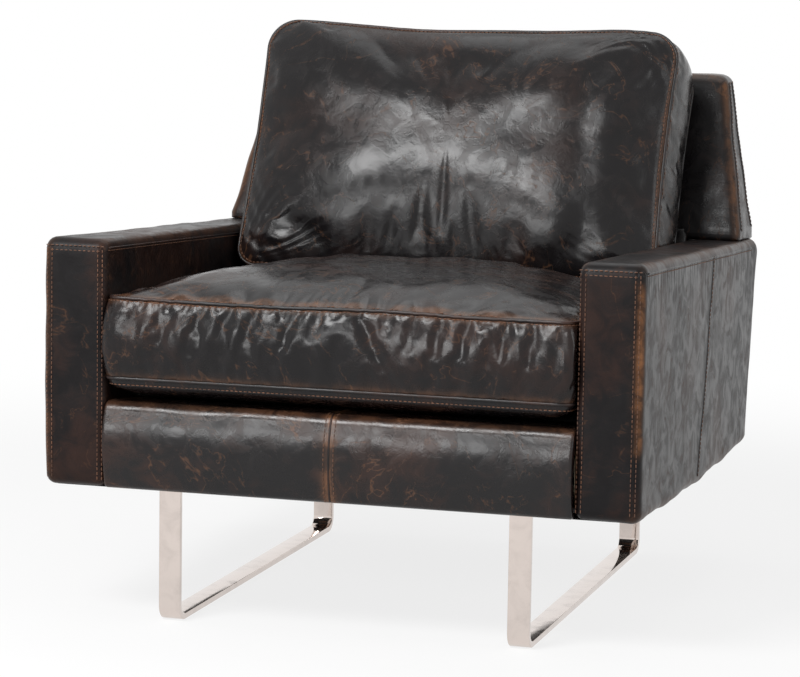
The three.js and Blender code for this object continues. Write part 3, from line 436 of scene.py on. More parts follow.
class Look:
    """A node material being put together, with short calls for the nodes it needs."""

    def __init__(self, name):
        self.material = bpy.data.materials.new(name)
        self.material.use_nodes = True
        self.tree = self.material.node_tree
        self.shader = self.tree.nodes["Principled BSDF"]
        self.place = self.node("ShaderNodeTexCoord").outputs["Object"]

    def node(self, kind, **settings):
        """A new node with its settings."""
        made = self.tree.nodes.new(kind)
        for key, value in settings.items():
            setattr(made, key, value)
        return made

    def link(self, source, socket):
        self.tree.links.new(source, socket)

    def plain(self, **values):
        """Values that are the same all over, set on the shader's own sockets."""
        for key, value in values.items():
            self.shader.inputs[key.replace("_", " ")].default_value = value

    def stretched(self, scale):
        """The place on the piece, scaled differently along each axis."""
        mapping = self.node("ShaderNodeMapping")
        mapping.inputs["Scale"].default_value = scale
        self.link(self.place, mapping.inputs["Vector"])
        return mapping.outputs["Vector"]

    def noise(self, scale, detail=4.0, distortion=0.0, roughness=0.55, place=None):
        """Cloudy noise from 0 to 1, with so many waves to the metre."""
        made = self.node("ShaderNodeTexNoise")
        made.inputs["Scale"].default_value = scale
        made.inputs["Detail"].default_value = detail
        made.inputs["Roughness"].default_value = roughness
        made.inputs["Distortion"].default_value = distortion
        self.link(place or self.place, made.inputs["Vector"])
        return made.outputs["Fac"]

    def cells(self, scale, feature="DISTANCE_TO_EDGE", place=None):
        """Distance in a pattern of cells, to their edges or to their middles."""
        made = self.node("ShaderNodeTexVoronoi", feature=feature)
        made.inputs["Scale"].default_value = scale
        self.link(place or self.place, made.inputs["Vector"])
        return made.outputs["Distance"]

    def bent(self, scale, amount):
        """The place pushed about by a noise, so that a pattern on it runs crooked."""
        shift = self.node("ShaderNodeTexNoise")
        shift.inputs["Scale"].default_value = scale
        self.link(self.place, shift.inputs["Vector"])
        push = self.node("ShaderNodeVectorMath", operation="SCALE")
        push.inputs["Scale"].default_value = amount
        self.link(shift.outputs["Color"], push.inputs[0])
        total = self.node("ShaderNodeVectorMath", operation="ADD")
        self.link(self.place, total.inputs[0])
        self.link(push.outputs[0], total.inputs[1])
        return total.outputs[0]

    def ramp(self, value, low, high, first=0.0, last=1.0):
        """Value spread from low..high to first..last, level beyond them."""
        made = self.node("ShaderNodeMapRange", interpolation_type="SMOOTHSTEP")
        for key, number in zip(("From Min", "From Max", "To Min", "To Max"), (low, high, first, last)):
            made.inputs[key].default_value = number
        self.link(value, made.inputs["Value"])
        return made.outputs["Result"]

    def maths(self, operation, *values):
        """One sum on numbers or other nodes' results."""
        made = self.node("ShaderNodeMath", operation=operation)
        for socket, value in zip(made.inputs, values):
            if isinstance(value, (int, float)):
                socket.default_value = value
            else:
                self.link(value, socket)
        return made.outputs[0]

    def mix(self, share, first, second):
        """First colour where the share is 0 and second where it is 1."""
        made = self.node("ShaderNodeMix", data_type="RGBA")
        self.link(share, made.inputs["Factor"])
        for socket, value in ((made.inputs["A"], first), (made.inputs["B"], second)):
            self.colour(value, socket)
        return made.outputs["Result"]

    def colour(self, value, socket):
        """Puts a colour, or another node's result, into a socket."""
        if hasattr(value, "is_output"):
            self.link(value, socket)
        else:
            socket.default_value = (*value, 1.0)

    def mark(self, name):
        """A number kept per point on the piece."""
        return self.node("ShaderNodeAttribute", attribute_name=name).outputs["Fac"]

    def bump(self, height, distance, strength=1.0):
        """Normal bent by a height that is multiplied by the distance."""
        made = self.node("ShaderNodeBump")
        made.inputs["Distance"].default_value = distance
        made.inputs["Strength"].default_value = strength
        self.link(height, made.inputs["Height"])
        return made.outputs["Normal"]

    def give(self, key, value):
        """Links a result to one of the shader's sockets."""
        self.link(value, self.shader.inputs[key])


def leather_look(name="worn_leather", brown=0.36, gloss=0.28, creased=1.0, shine=0.34):
    """Dark glossy leather: mottled and rubbed colour, hairline scratches, creases and grain.

    Reads the marks "wear" (rubbed edges), "pucker" (pull at a seam) and "grime" (dull seams).
    """
    made = bpy.data.materials.get(name)
    if made:
        return made
    c = colours()
    look = Look(name)
    patches = look.noise(5.0, 3.0, 0.6)
    mottle = look.noise(30.0, 4.0, 1.0, 0.62)
    rubbed = look.ramp(look.maths("MULTIPLY_ADD", mottle, 0.5, patches), 0.68, 0.98, 0.0, brown)
    colour = look.mix(rubbed, tuple(c.leather_dark), tuple(c.leather_brown))
    wander = look.maths("ABSOLUTE", look.maths("SUBTRACT", look.noise(9.0, 4.0, 1.4, 0.6), 0.5))
    hairs = look.maths("MULTIPLY", look.ramp(wander, 0.0, 0.011, 1.0, 0.0), look.ramp(mottle, 0.40, 0.62))
    wear = look.maths("MULTIPLY", look.mark("wear"), look.ramp(mottle, 0.32, 0.60, 0.25, 1.0))
    lighter = look.maths("MULTIPLY_ADD", hairs, 0.22 * creased, wear)
    look.give("Base Color", look.mix(look.maths("MINIMUM", lighter, 1.0), colour, tuple(c.leather_bare)))

    rough = look.ramp(mottle, 0.34, 0.68, gloss - 0.06, gloss + 0.10)
    rough = look.maths("MULTIPLY_ADD", hairs, 0.10, rough)
    look.give("Roughness", look.maths("MULTIPLY_ADD", look.mark("grime"), 0.2, rough))

    # Heights in metres, added up for one bump: sag, folds and grain, creases, scratches, pulls.
    height = look.maths("MULTIPLY", look.noise(10.0, 1.0, 0.5), 0.0019)
    height = look.maths("MULTIPLY_ADD", look.noise(40.0, 6.0, 0.8, 0.64), 0.00060 * creased, height)
    network = look.ramp(look.cells(58.0, place=look.bent(24.0, 0.03)), 0.0, 0.05)
    network = look.maths("MULTIPLY", network, look.ramp(mottle, 0.42, 0.66))
    height = look.maths("MULTIPLY_ADD", network, 0.00010 * creased, height)
    height = look.maths("MULTIPLY_ADD", hairs, -0.00009 * creased, height)
    pulls = look.noise(1.0, 1.0, place=look.stretched((60.0, 110.0, 14.0)))
    pulls = look.maths("MULTIPLY", pulls, look.mark("pucker"))
    height = look.maths("MULTIPLY_ADD", pulls, 0.0022, height)
    look.give("Normal", look.bump(height, 1.0))
    look.plain(Specular_IOR_Level=shine)
    return look.material


def thread_look():
    """Twisted thread: fine slanting bands and a dull finish."""
    made = bpy.data.materials.get("sewing_thread")
    if made:
        return made
    c = colours()
    look = Look("sewing_thread")
    twist = look.noise(900.0, 2.0)
    dulled = tuple(0.45 * value for value in c.thread)
    look.give("Base Color", look.mix(look.ramp(look.noise(24.0), 0.35, 0.65), dulled, tuple(c.thread)))
    look.give("Normal", look.bump(twist, 0.0002, 0.5))
    look.plain(Roughness=0.6)
    return look.material


def chrome_look():
    """Plated bar: bright, with faint wiping marks along it and patches of haze."""
    made = bpy.data.materials.get("worn_chrome")
    if made:
        return made
    c = colours()
    look = Look("worn_chrome")
    wiped = look.noise(1.0, 4.0, place=look.stretched((260.0, 8.0, 8.0)))
    haze = look.noise(38.0, 4.0, 0.5)
    rough = look.ramp(haze, 0.45, 0.75, 0.055, 0.13)
    look.give("Roughness", look.maths("MULTIPLY_ADD", wiped, 0.03, rough))
    tarnish = tuple(0.90 * value for value in c.chrome)
    look.give("Base Color", look.mix(look.ramp(haze, 0.40, 0.75), tuple(c.chrome), tarnish))
    look.plain(Metallic=1.0)
    return look.material


def wood_look():
    """Sawn hardwood: long grain lines, pores and a matt face."""
    made = bpy.data.materials.get("sawn_hardwood")
    if made:
        return made
    c = colours()
    look = Look("sawn_hardwood")
    grain = look.noise(1.0, 6.0, 0.8, place=look.stretched((9.0, 9.0, 130.0)))
    pores = look.noise(1.0, 3.0, place=look.stretched((90.0, 90.0, 900.0)))
    darker = tuple(0.55 * value for value in c.wood)
    look.give("Base Color", look.mix(look.ramp(grain, 0.35, 0.65), darker, tuple(c.wood)))
    look.give("Normal", look.bump(pores, 0.0005, 0.6))
    look.give("Roughness", look.ramp(grain, 0.3, 0.7, 0.62, 0.8))
    return look.material


def foam_look():
    """Cut foam: open cells and a yellowed tone."""
    made = bpy.data.materials.get("yellowed_foam")
    if made:
        return made
    look = Look("yellowed_foam")
    look.give("Base Color", look.mix(look.noise(12.0), (0.72, 0.62, 0.40), (0.80, 0.74, 0.58)))
    look.give("Normal", look.bump(look.cells(700.0, "F1"), 0.0008, 0.8))
    look.plain(Roughness=0.95)
    return look.material


def cloth_look():
    """Non-woven lining cloth: a felted weave, dusty in places."""
    made = bpy.data.materials.get("lining_cloth")
    if made:
        return made
    c = colours()
    look = Look("lining_cloth")
    dust = look.ramp(look.noise(9.0, 5.0, 0.5), 0.45, 0.8, 0.0, 0.5)
    look.give("Base Color", look.mix(dust, tuple(c.cloth), (0.06, 0.055, 0.05)))
    weave = look.maths("ADD", look.noise(1.0, 2.0, place=look.stretched((1500.0, 200.0, 200.0))),
                       look.noise(1.0, 2.0, place=look.stretched((200.0, 1500.0, 200.0))))
    look.give("Normal", look.bump(weave, 0.0004, 0.7))
    look.plain(Roughness=0.9, Sheen_Weight=0.15)
    return look.material


def steel_look():
    """Oiled spring steel: dark drawn wire with streaks along it."""
    made = bpy.data.materials.get("oiled_steel")
    if made:
        return made
    look = Look("oiled_steel")
    streaks = look.noise(1.0, 4.0, place=look.stretched((400.0, 60.0, 60.0)))
    look.give("Base Color", look.mix(streaks, (0.16, 0.15, 0.15), (0.42, 0.41, 0.40)))
    look.give("Roughness", look.ramp(streaks, 0.3, 0.7, 0.28, 0.5))
    look.plain(Metallic=1.0)
    return look.material


# Arms


TOP_SEAM = 15


def arm_corners():
    """Side view of an arm: foot front, foot rear, top rear, top front."""
    rise = ARM_HEIGHT - underside(BODY_DEPTH)
    rear = (BODY_DEPTH + rise * REAR_RAKE) / (1 + ARM_PITCH * REAR_RAKE)
    foot = [(0, underside(0)), (BODY_DEPTH, underside(BODY_DEPTH))]
    return foot + [(rear, arm_top(rear)), (0, ARM_HEIGHT)]


def arm_swell(points, side):
    """How far an arm's leather stands off its solid.

    A product of two half sines fills the outer face, sine waves make it uneven, and a bell curve
    lifts the rear top corner.
    """
    x, y, z = points[..., 0], points[..., 1], points[..., 2]
    outward = smooth((side * x - 365) / 38)
    up = np.clip((z - underside(y)) / (arm_top(y) - underside(y)), 0, 1)
    back = np.clip(y / BODY_DEPTH, 0, 1)
    pillow = np.sin(np.pi * up) ** 0.7 * np.sin(np.pi * np.clip(back, 0.02, 0.98)) ** 0.5
    fullness = 4.6 if side < 0 else 2.6
    front_share = bell(y, 0, 60)
    side_bulge = outward * (2.2 * pillow + (fullness - 2.2) * front_share * np.sin(np.pi * up))
    uneven = 0.55 * undulation(points, 150, 11 + side) + 0.25 * undulation(points, 55, 21 + side)
    rear_corner = 1.8 * np.exp(-((y - 812) / 22) ** 2 - ((z - 466) / 20) ** 2)
    return np.maximum(side_bulge + uneven * (0.35 + 0.65 * outward), -0.2) + rear_corner


def arm_droop(points, side):
    """Downward sag of an arm's lower edge: a half sine along the depth, dying out upwards."""
    x, y, z = points[..., 0], points[..., 1], points[..., 2]
    back = np.clip(y / BODY_DEPTH, 0, 1)
    near_foot = np.exp(-np.clip(z - underside(y), 0, None) / 45)
    outer_share = 0.25 + 0.75 * smooth((side * x - 340) / 60)
    wavy = 1 + 0.16 * np.sin(y / 31 + side) + 0.08 * np.sin(y / 13)
    return 1000 * sizes().arm_sag * np.sin(np.pi * back) ** 0.8 * near_foot * outer_share * wavy


def dress_arm(points, outward, side):
    """Points on an arm's solid moved to the leather's face."""
    moved = points + outward * arm_swell(points, side)[..., None]
    moved[..., 2] -= arm_droop(points, side)
    return moved


def arm_rings(side):
    """Stacked rings across an arm: face, rounded edge, width, rounded edge, face."""
    outline, outward = rounded_outline(arm_corners(), (14, 14, 26, 16), 9.0)
    centre = np.array([BODY_DEPTH / 2, (underside(300) + arm_top(300)) / 2])
    edge = 13.0
    scales = np.array([0.06, 0.2, 0.34, 0.47, 0.59, 0.69, 0.78, 0.85, 0.91, 0.955, 0.985])
    turns = np.radians([0, 15, 30, 45, 60, 75, 90])
    near = [(s, edge, 0.0) for s in scales]
    near += [(1.0, edge * (1 - np.sin(a)), edge * (1 - np.cos(a))) for a in turns]
    width = ARM_OUTER - ARM_INNER
    middle = [(1.0, 0.0, x) for x in np.linspace(edge, width - edge, 8)[1:-1]]
    far = [(s, inset, width - x) for s, inset, x in near[::-1]]
    rings = []
    for scale, inset, x in near + middle + far:
        flat = centre + (outline - outward * inset - centre) * scale
        across = np.full(len(flat), side * (ARM_INNER + x))
        rings.append(np.column_stack([across, flat]))
    rings = np.array(rings)
    return rings if side > 0 else rings[:, ::-1]


def arm_wear(points, side):
    """Rubbing on an arm: its front corners, the strip on the front outer corner, its top edges."""
    x, y, z = points[..., 0], points[..., 1], points[..., 2]
    to_outer = np.abs(side * x - ARM_OUTER)
    to_inner = np.abs(side * x - ARM_INNER)
    corner = bell(to_outer, 0, 6) * bell(y, 0, 6)
    rubbed = smooth((z - 268) / 8) * smooth((500 - z) / 40) if side > 0 else 0.25
    strip = np.clip(corner * 2.4, 0, 1) * rubbed
    top = bell(arm_top(y), z, 7)
    edges = 0.28 * top * (bell(to_outer, 0, 9) + 0.5 * bell(to_inner, 0, 9))
    foot = 0.25 * bell(z, underside(y), 10) * bell(to_outer, 0, 10)
    return np.clip(strip + edges + foot, 0, 1)


def arm_rows(side):
    """Seam lines on an arm: double rows round its front, one on each top edge, one outer join."""
    inner, outer = side * (ARM_INNER + 7), side * (ARM_OUTER - 8.5)
    gap = 1000 * sizes().row_gap
    rows, folds = [], []

    def dressed(path, outward):
        path, outward = np.asarray(path, float), np.asarray(outward, float)
        direction = np.broadcast_to(outward, path.shape)
        return dress_arm(path, direction, side), direction.copy()

    for offset in (-gap / 2, gap / 2):
        up = np.linspace(underside(0) + 12, ARM_HEIGHT - 16, 60)
        left = np.column_stack([np.full(60, inner + side * offset), np.zeros(60), up])
        right = np.column_stack([np.full(60, outer - side * offset), np.zeros(60), up])
        across = np.linspace(inner + side * offset, outer - side * offset, 20)
        top = np.column_stack([across, np.full(20, 0.6), np.full(20, ARM_HEIGHT - 13 - offset)])
        for path in (left, right, top):
            rows.append(dressed(path, (0, -1, 0)))
    along = np.linspace(14, BODY_DEPTH - 6, 90)
    for x, outward in ((side * ARM_OUTER, (side, 0, 0)), (side * ARM_INNER, (-side, 0, 0))):
        path = np.column_stack([np.full(90, x), along, arm_top(along) - TOP_SEAM])
        rows.append(dressed(path, outward))
        folds.append(dressed(path + np.array([0, 0, 3.2]), outward))
    t = np.linspace(0.05, 0.97, 60)
    join_depth, join_height = 378.5 + 84.2 * t, 175.2 + 312.1 * t
    join = np.column_stack([np.full(60, side * ARM_OUTER), join_depth, join_height])
    folds.append(dressed(join, (side, 0, 0)))
    rows.append(dressed(join + np.array([0, 4.5, 0]), (side, 0, 0)))
    return rows, folds


def lifted(runs, height):
    """Runs moved outwards by a height in millimetres."""
    return [(path + outward * height, outward) for path, outward in runs]


class CLUBCHAIR_OT_arms(bpy.types.Operator):
    """Makes the two leather arm covers with their sagging foot, seams and stitching"""
    bl_idname = "club_chair.arms"
    bl_label = "Arm covers"

    def execute(self, context):
        for side, word in ((-1, "left"), (1, "right")):
            rings = arm_rings(side)
            wear = arm_wear(rings, side)
            top_seam = np.clip(1 - (arm_top(rings[..., 1]) - TOP_SEAM - rings[..., 2]) / 46, 0, 1)
            below = (rings[..., 2] < arm_top(rings[..., 1]) - 12) & (side * rings[..., 0] > ARM_OUTER - 8)
            skin = dress_arm(rings, ring_normals(rings), side)
            cover = shell(f"arm_leather_{word}", skin, arm_look(),
                          leather_marks(wear, top_seam * below))
            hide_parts(f"arm_cover_{word}")
            rows, folds = arm_rows(side)
            sew(f"arm_stitches_{word}", lifted(rows, 0.35))
            cords(f"arm_seams_{word}", lifted(folds, -0.5), 1.3, seam_look(), closed=False)
        return {"FINISHED"}


def arm_look():
    """Leather of the arms, more matt and a little browner than the cushions'."""
    return leather_look("arm_leather", brown=0.34, gloss=0.37, creased=0.55, shine=0.15)


def seam_look():
    """Folded leather along a seam: the same leather, duller and rubbed on its ridge."""
    return leather_look("seam_leather", brown=0.6, gloss=0.40, creased=0.3)


# Back


def back_ring(z, inset, spacing=11.0):
    """Level ring of the back's wedge at a height, drawn in by an inset."""
    half = wing_half(z) - inset
    front, rear = inside_back(z) + inset, rear_face(z) - inset
    corners = [(-half, front), (half, front), (half, rear), (-half, rear)]
    outline, _ = rounded_outline(corners, (13, 13, 8, 8), spacing)
    return outline


def resampled(outline, count):
    """A closed outline (n, 2) with a given count of points, straight between its own."""
    at = np.linspace(0, len(outline), count, endpoint=False)
    own = np.arange(len(outline) + 1)
    return np.stack([np.interp(at, own, np.r_[outline[:, k], outline[0, k]]) for k in (0, 1)], -1)


def drawn_in(ring, scale):
    """A ring (n, 3) scaled in plan about its middle, at its own heights."""
    middle = ring.mean(0)
    return np.column_stack([middle[:2] + (ring[:, :2] - middle[:2]) * scale, ring[:, 2]])


def back_rings():
    """Wings and top of the back: rings up from the arm tops, closing over a rounded top."""
    count = len(back_ring(WING_HEIGHT, 0))
    top_edge = 14

    def level(z, inset, lower=0.0):
        """Ring at a height; lower moves it by that share down to the arm tops."""
        ring = resampled(back_ring(z, inset), count)
        height = np.full(count, float(z))
        if lower:
            seat = arm_top(ring[:, 1]) + 0.5
            height = seat + (z - seat) * (1 - lower)
        return np.column_stack([ring, height])

    rings = [drawn_in(level(WING_HEIGHT, 5.0, 1.0), scale) for scale in (0.15, 0.5, 0.8, 0.93)]
    for lower, inset in ((1.0, 5.0), (0.97, 1.6), (0.85, 0.0), (0.5, 0.0), (0.2, 0.0)):
        rings.append(level(WING_HEIGHT, inset, lower))
    for z in np.linspace(WING_HEIGHT, BACK_TOP - top_edge, 24):
        rings.append(level(z, 0.0))
    for turn in np.radians([15, 30, 45, 60, 75, 88]):
        height = BACK_TOP - top_edge + top_edge * np.sin(turn)
        rings.append(level(height, top_edge * (1 - np.cos(turn))))
    last = rings[-1]
    rings += [drawn_in(last, scale) for scale in (0.9, 0.7, 0.4, 0.12)]
    return np.array(rings)


def block_rings():
    """Lower back between the arms: level rings from the underside up into the wings."""
    rings = []
    foot = underside(BODY_DEPTH)
    heights = np.r_[foot, foot + 2, foot + 8, np.linspace(foot + 20, WING_HEIGHT + 4, 26)]
    insets = np.r_[6, 2, 0, np.zeros(26)]
    for z, inset in zip(heights, insets):
        half = BODY_HALF - 0.5 - inset
        floor = np.maximum(z, deck_top(DECK_REAR) + 2)
        front, rear = inside_back(floor) - 0.4 + inset, rear_face(z) - inset
        outline, _ = rounded_outline([(-half, front), (half, front), (half, rear), (-half, rear)],
                                     (6, 6, 6, 6), 12.0)
        if rings:
            outline = resampled(outline, len(rings[0]))
        rings.append(np.column_stack([outline, np.full(len(outline), float(z))]))
    inner = [drawn_in(rings[0], scale) for scale in (0.3, 0.75)]
    return np.array(inner + rings)


def back_swell(points):
    """Unevenness of the back's leather, less a hollow on its rear that is a product of half waves."""
    x, y, z = points[..., 0], points[..., 1], points[..., 2]
    rear = smooth((y - rear_face(z) + 12) / 10)
    hollow = 2.4 * rear * np.cos(np.clip(x / 400, -1, 1) * np.pi / 2) * np.sin(
        np.clip((z - 172) / 541, 0, 1) * np.pi)
    return 0.9 * undulation(points, 130, 31) + 0.35 * undulation(points, 48, 32) - 0.5 * hollow


def wing_look():
    """Leather of the back and its wings, dark and half matt."""
    return leather_look("wing_leather", brown=0.24, gloss=0.31, creased=0.7, shine=0.2)


class CLUBCHAIR_OT_back(bpy.types.Operator):
    """Makes the back's leather: wings, rounded top, outside back and the block between the arms"""
    bl_idname = "club_chair.back"
    bl_label = "Back"

    def execute(self, context):
        rings = back_rings()
        x, y, z = rings[..., 0], rings[..., 1], rings[..., 2]
        to_side = np.abs(np.abs(x) - wing_half(z))
        front_edge = bell(to_side, 0, 7) * bell(y, inside_back(z), 9)
        rear_edge = bell(to_side, 0, 7) * bell(y, rear_face(z), 9)
        top = bell(z, BACK_TOP, 6)
        wear = np.clip(0.5 * front_edge + 0.3 * rear_edge + 0.2 * top, 0, 1)
        skin = rings + ring_normals(rings) * back_swell(rings)[..., None]
        wings = shell("back_leather", skin, wing_look(), leather_marks(wear))
        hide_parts("back_cover")
        block = block_rings()
        skin = block + ring_normals(block) * np.maximum(0.8 * back_swell(block), -0.2)[..., None]
        wear = 0.25 * bell(block[..., 2], underside(BODY_DEPTH), 9)
        outside = shell("outside_back_leather", skin, wing_look(), leather_marks(wear))
        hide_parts("outside_back_panel")
        self.seams()
        return {"FINISHED"}

    def seams(self):
        """Seams up the wings' front and rear corners and across the rear's top."""
        rows, folds = [], []
        heights = np.linspace(WING_HEIGHT + 4, BACK_TOP - 12, 50)
        for side in (-1, 1):
            half = side * (wing_half(heights) + 0.4)
            for depth in (inside_back(heights) + 15, rear_face(heights) - 17):
                path = np.column_stack([half, depth, heights])
                outward = unit(np.tile([side, 0, 0.19], (50, 1)))
                place = path + outward * back_swell(path)[:, None]
                folds.append((place, outward))
                rows.append((place + np.array([0, 4.0, 0]), outward))
        across = np.linspace(-wing_half(BACK_TOP) + 16, wing_half(BACK_TOP) - 16, 80)
        z = BACK_TOP - 20.0
        path = np.column_stack([across, np.full(80, rear_face(z)), np.full(80, z)])
        outward = np.tile([0, np.cos(np.arctan(REAR_RAKE)), -np.sin(np.arctan(REAR_RAKE))], (80, 1))
        place = path + outward * back_swell(path)[:, None]
        folds.append((place, outward))
        rows.append((place - np.array([0, 0, 4.0]), outward))
        sew("back_stitches", lifted(rows, 0.3))
        cords("back_seams", lifted(folds, -0.4), 1.3, seam_look(), closed=False)


# Front rail


def rail_profile():
    """Side line of the rail's leather from its turned-in foot up the face and over the nose."""
    t = np.linspace(0, 1, 14)[:, None]

    def curve(a, b, c):
        return (1 - t) ** 2 * np.array(a) + 2 * t * (1 - t) * np.array(b) + t ** 2 * np.array(c)

    foot = np.array([(30, underside(30)), (18, underside(18)), (10, underside(10))])
    heel = curve((6, underside(6)), (0, underside(0)), (-2, underside(0) + 6))
    face = curve((-2, underside(0) + 6), (-18, (underside(0) + DECK_FRONT) / 2), (-2, DECK_FRONT - 15))
    nose = curve((-2, DECK_FRONT - 15), (0, DECK_FRONT), (15, deck_top(15)))
    lap = np.array([(y, deck_top(y)) for y in (24, 36, 52, 72, 95)])
    return np.concatenate([foot, heel, face[1:], nose[1:], lap])


def rail_place(x, along):
    """Points on the rail's leather for distances across it and stations along its profile.

    A distance beyond the rail's end turns in, square to the profile.
    """
    profile = rail_profile()
    at = np.arange(len(profile))
    way = unit(np.gradient(profile, axis=0))
    past = np.clip(np.abs(x) - BODY_HALF, 0, None)
    round_off = 2.0 * np.clip((np.abs(x) - BODY_HALF + 3) / 3, 0, 1) ** 2
    y = np.interp(along, at, profile[:, 0]) + np.interp(along, at, way[:, 1]) * (past + round_off)
    z = np.interp(along, at, profile[:, 1]) - np.interp(along, at, way[:, 0]) * (past + round_off)
    points = np.stack([np.clip(x, -BODY_HALF - 0.1, BODY_HALF + 0.1), y, z], -1)
    full = np.sin(np.pi * np.clip(along / (len(profile) - 6), 0, 1)) ** 2
    seam = bell(x, RAIL_SEAM, 5.5)
    dip = -1.0 * seam + 1.4 * undulation(points, 170, 41) + 0.5 * undulation(points, 60, 42)
    crease = -1.3 * np.exp(-((x - 52 - 0.12 * (z - 240)) / 7) ** 2)
    points[..., 1] -= (np.maximum(full * (dip + crease + 2.2), 0) + 0.3) * (past == 0)
    return points


class CLUBCHAIR_OT_front_rail(bpy.types.Operator):
    """Makes the leather over the front rail with its centre seam and lap over the deck"""
    bl_idname = "club_chair.front_rail"
    bl_label = "Front rail"

    def execute(self, context):
        stations = np.arange(len(rail_profile()), dtype=float)
        ends = BODY_HALF + np.array([-2.5, -1.6, -0.8, 0.5, 2, 5, 9, 13])
        even = np.linspace(-BODY_HALF, BODY_HALF, 151)
        across = np.unique(np.r_[even, np.linspace(-14, 6, 21), ends, -ends])
        along, x = np.meshgrid(stations, across, indexing="ij")
        points = rail_place(x, along)
        form = points.reshape(-1, 3), grid_faces(*x.shape), NO_TRIANGLES
        cover = mesh_piece("front_rail_leather", form, rail_look())
        nose = np.exp(-((points[..., 2] - DECK_FRONT + 4) / 8) ** 2) * bell(points[..., 1], 4, 14)
        seam = bell(x, RAIL_SEAM, 8)
        for mark, values in leather_marks(0.13 * nose + 0.4 * seam, 0.5 * seam, 0.2 * seam).items():
            keep_mark(cover, mark, values.reshape(-1))
        add_wall(cover, 0.002, -1.0)
        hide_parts("front_rail_cover")
        up = np.linspace(12, len(rail_profile()) - 6, 60)
        gap = 2.1 * 1000 * sizes().row_gap
        outward = np.tile([0, -1, 0.0], (60, 1))
        outward[:, 2] = smooth((up - 34) / 8) * 1.4
        outward = unit(outward)
        rows = [(rail_place(np.full(60, RAIL_SEAM + o), up), outward) for o in (-gap / 2, gap / 2)]
        fold = [(rail_place(np.full(60, RAIL_SEAM), up), outward)]
        sew("front_rail_stitches", lifted(rows, 0.3))
        cords("front_rail_seam", lifted(fold, -0.3), 1.5, seam_look(), closed=False)
        return {"FINISHED"}


def rail_look():
    """Leather of the front rail, browner than the other covers."""
    return leather_look("rail_leather", brown=0.42, gloss=0.25)


# Cushions


def cushion_plan(half, low, high, low_corner, high_corner):
    """Plan of a cushion: its four sides bow inwards 5 mm and its corners are rounded."""
    corners = [(-half, low), (half, low), (half, high), (-half, high)]
    radii = (low_corner, low_corner, high_corner, high_corner)
    outline, _ = rounded_outline(corners, radii, 8.5)
    x, y = outline[:, 0], outline[:, 1]
    pull = 5.0
    u, v = x / half, (2 * y - low - high) / (high - low)
    bowed_x = x - np.sign(x) * pull * smooth((np.abs(u) - 0.6) / 0.4) * (1 - v ** 2)
    bowed_y = y - np.sign(v) * pull * smooth((np.abs(v) - 0.6) / 0.4) * (1 - u ** 2)
    return np.column_stack([bowed_x, bowed_y])


def cushion_rings(plan, lower_seam, upper_seam, crown, fullness, belly, base=0.3):
    """A cushion's rings: under panel, boxing between its two seams, and crowned top panel.

    Each ring is the plan scaled about its middle. The boxing bellies out by a half sine, and a
    panel rises from its seam by (1 - scale ** f) ** (2 / f).
    """
    low, high = plan.min(0), plan.max(0)
    middle, size = (low + high) / 2, (high - low) / 2

    def rise(scale, full):
        return (1 - scale ** full) ** (2 / full)

    under = [(s, 0.0, lower_seam - (lower_seam - base) * rise(s, 5.0), 0.0)
             for s in (0.12, 0.3, 0.5, 0.66, 0.79, 0.88, 0.94, 0.975, 0.993)]
    t_boxing = np.r_[0, 0.035, np.linspace(0.09, 0.91, 13), 0.965, 1]
    boxing = [(1.0, belly * np.sin(np.pi * t) ** 0.8, lower_seam + (upper_seam - lower_seam) * t, t)
              for t in t_boxing]
    over = [(s, 0.0, upper_seam + crown * rise(s, fullness), 1.0)
            for s in (0.994, 0.98, 0.962, 0.938, 0.91, 0.875, 0.835, 0.79, 0.74, 0.68, 0.62,
                      0.55, 0.48, 0.4, 0.32, 0.24, 0.16, 0.08)]
    rings, t_values = [], []
    for scale, push, level, t in under + boxing + over:
        flat = middle + (plan - middle) * (scale + push / size)
        rings.append(np.column_stack([flat, np.full(len(flat), level)]))
        t_values.append(t)
    first_seam = len(under)
    last_seam = len(under) + len(boxing) - 1
    return np.array(rings), np.array(t_values), first_seam, last_seam


INWARD_LIMIT = 1.0
SETTLING_FRAMES = 20


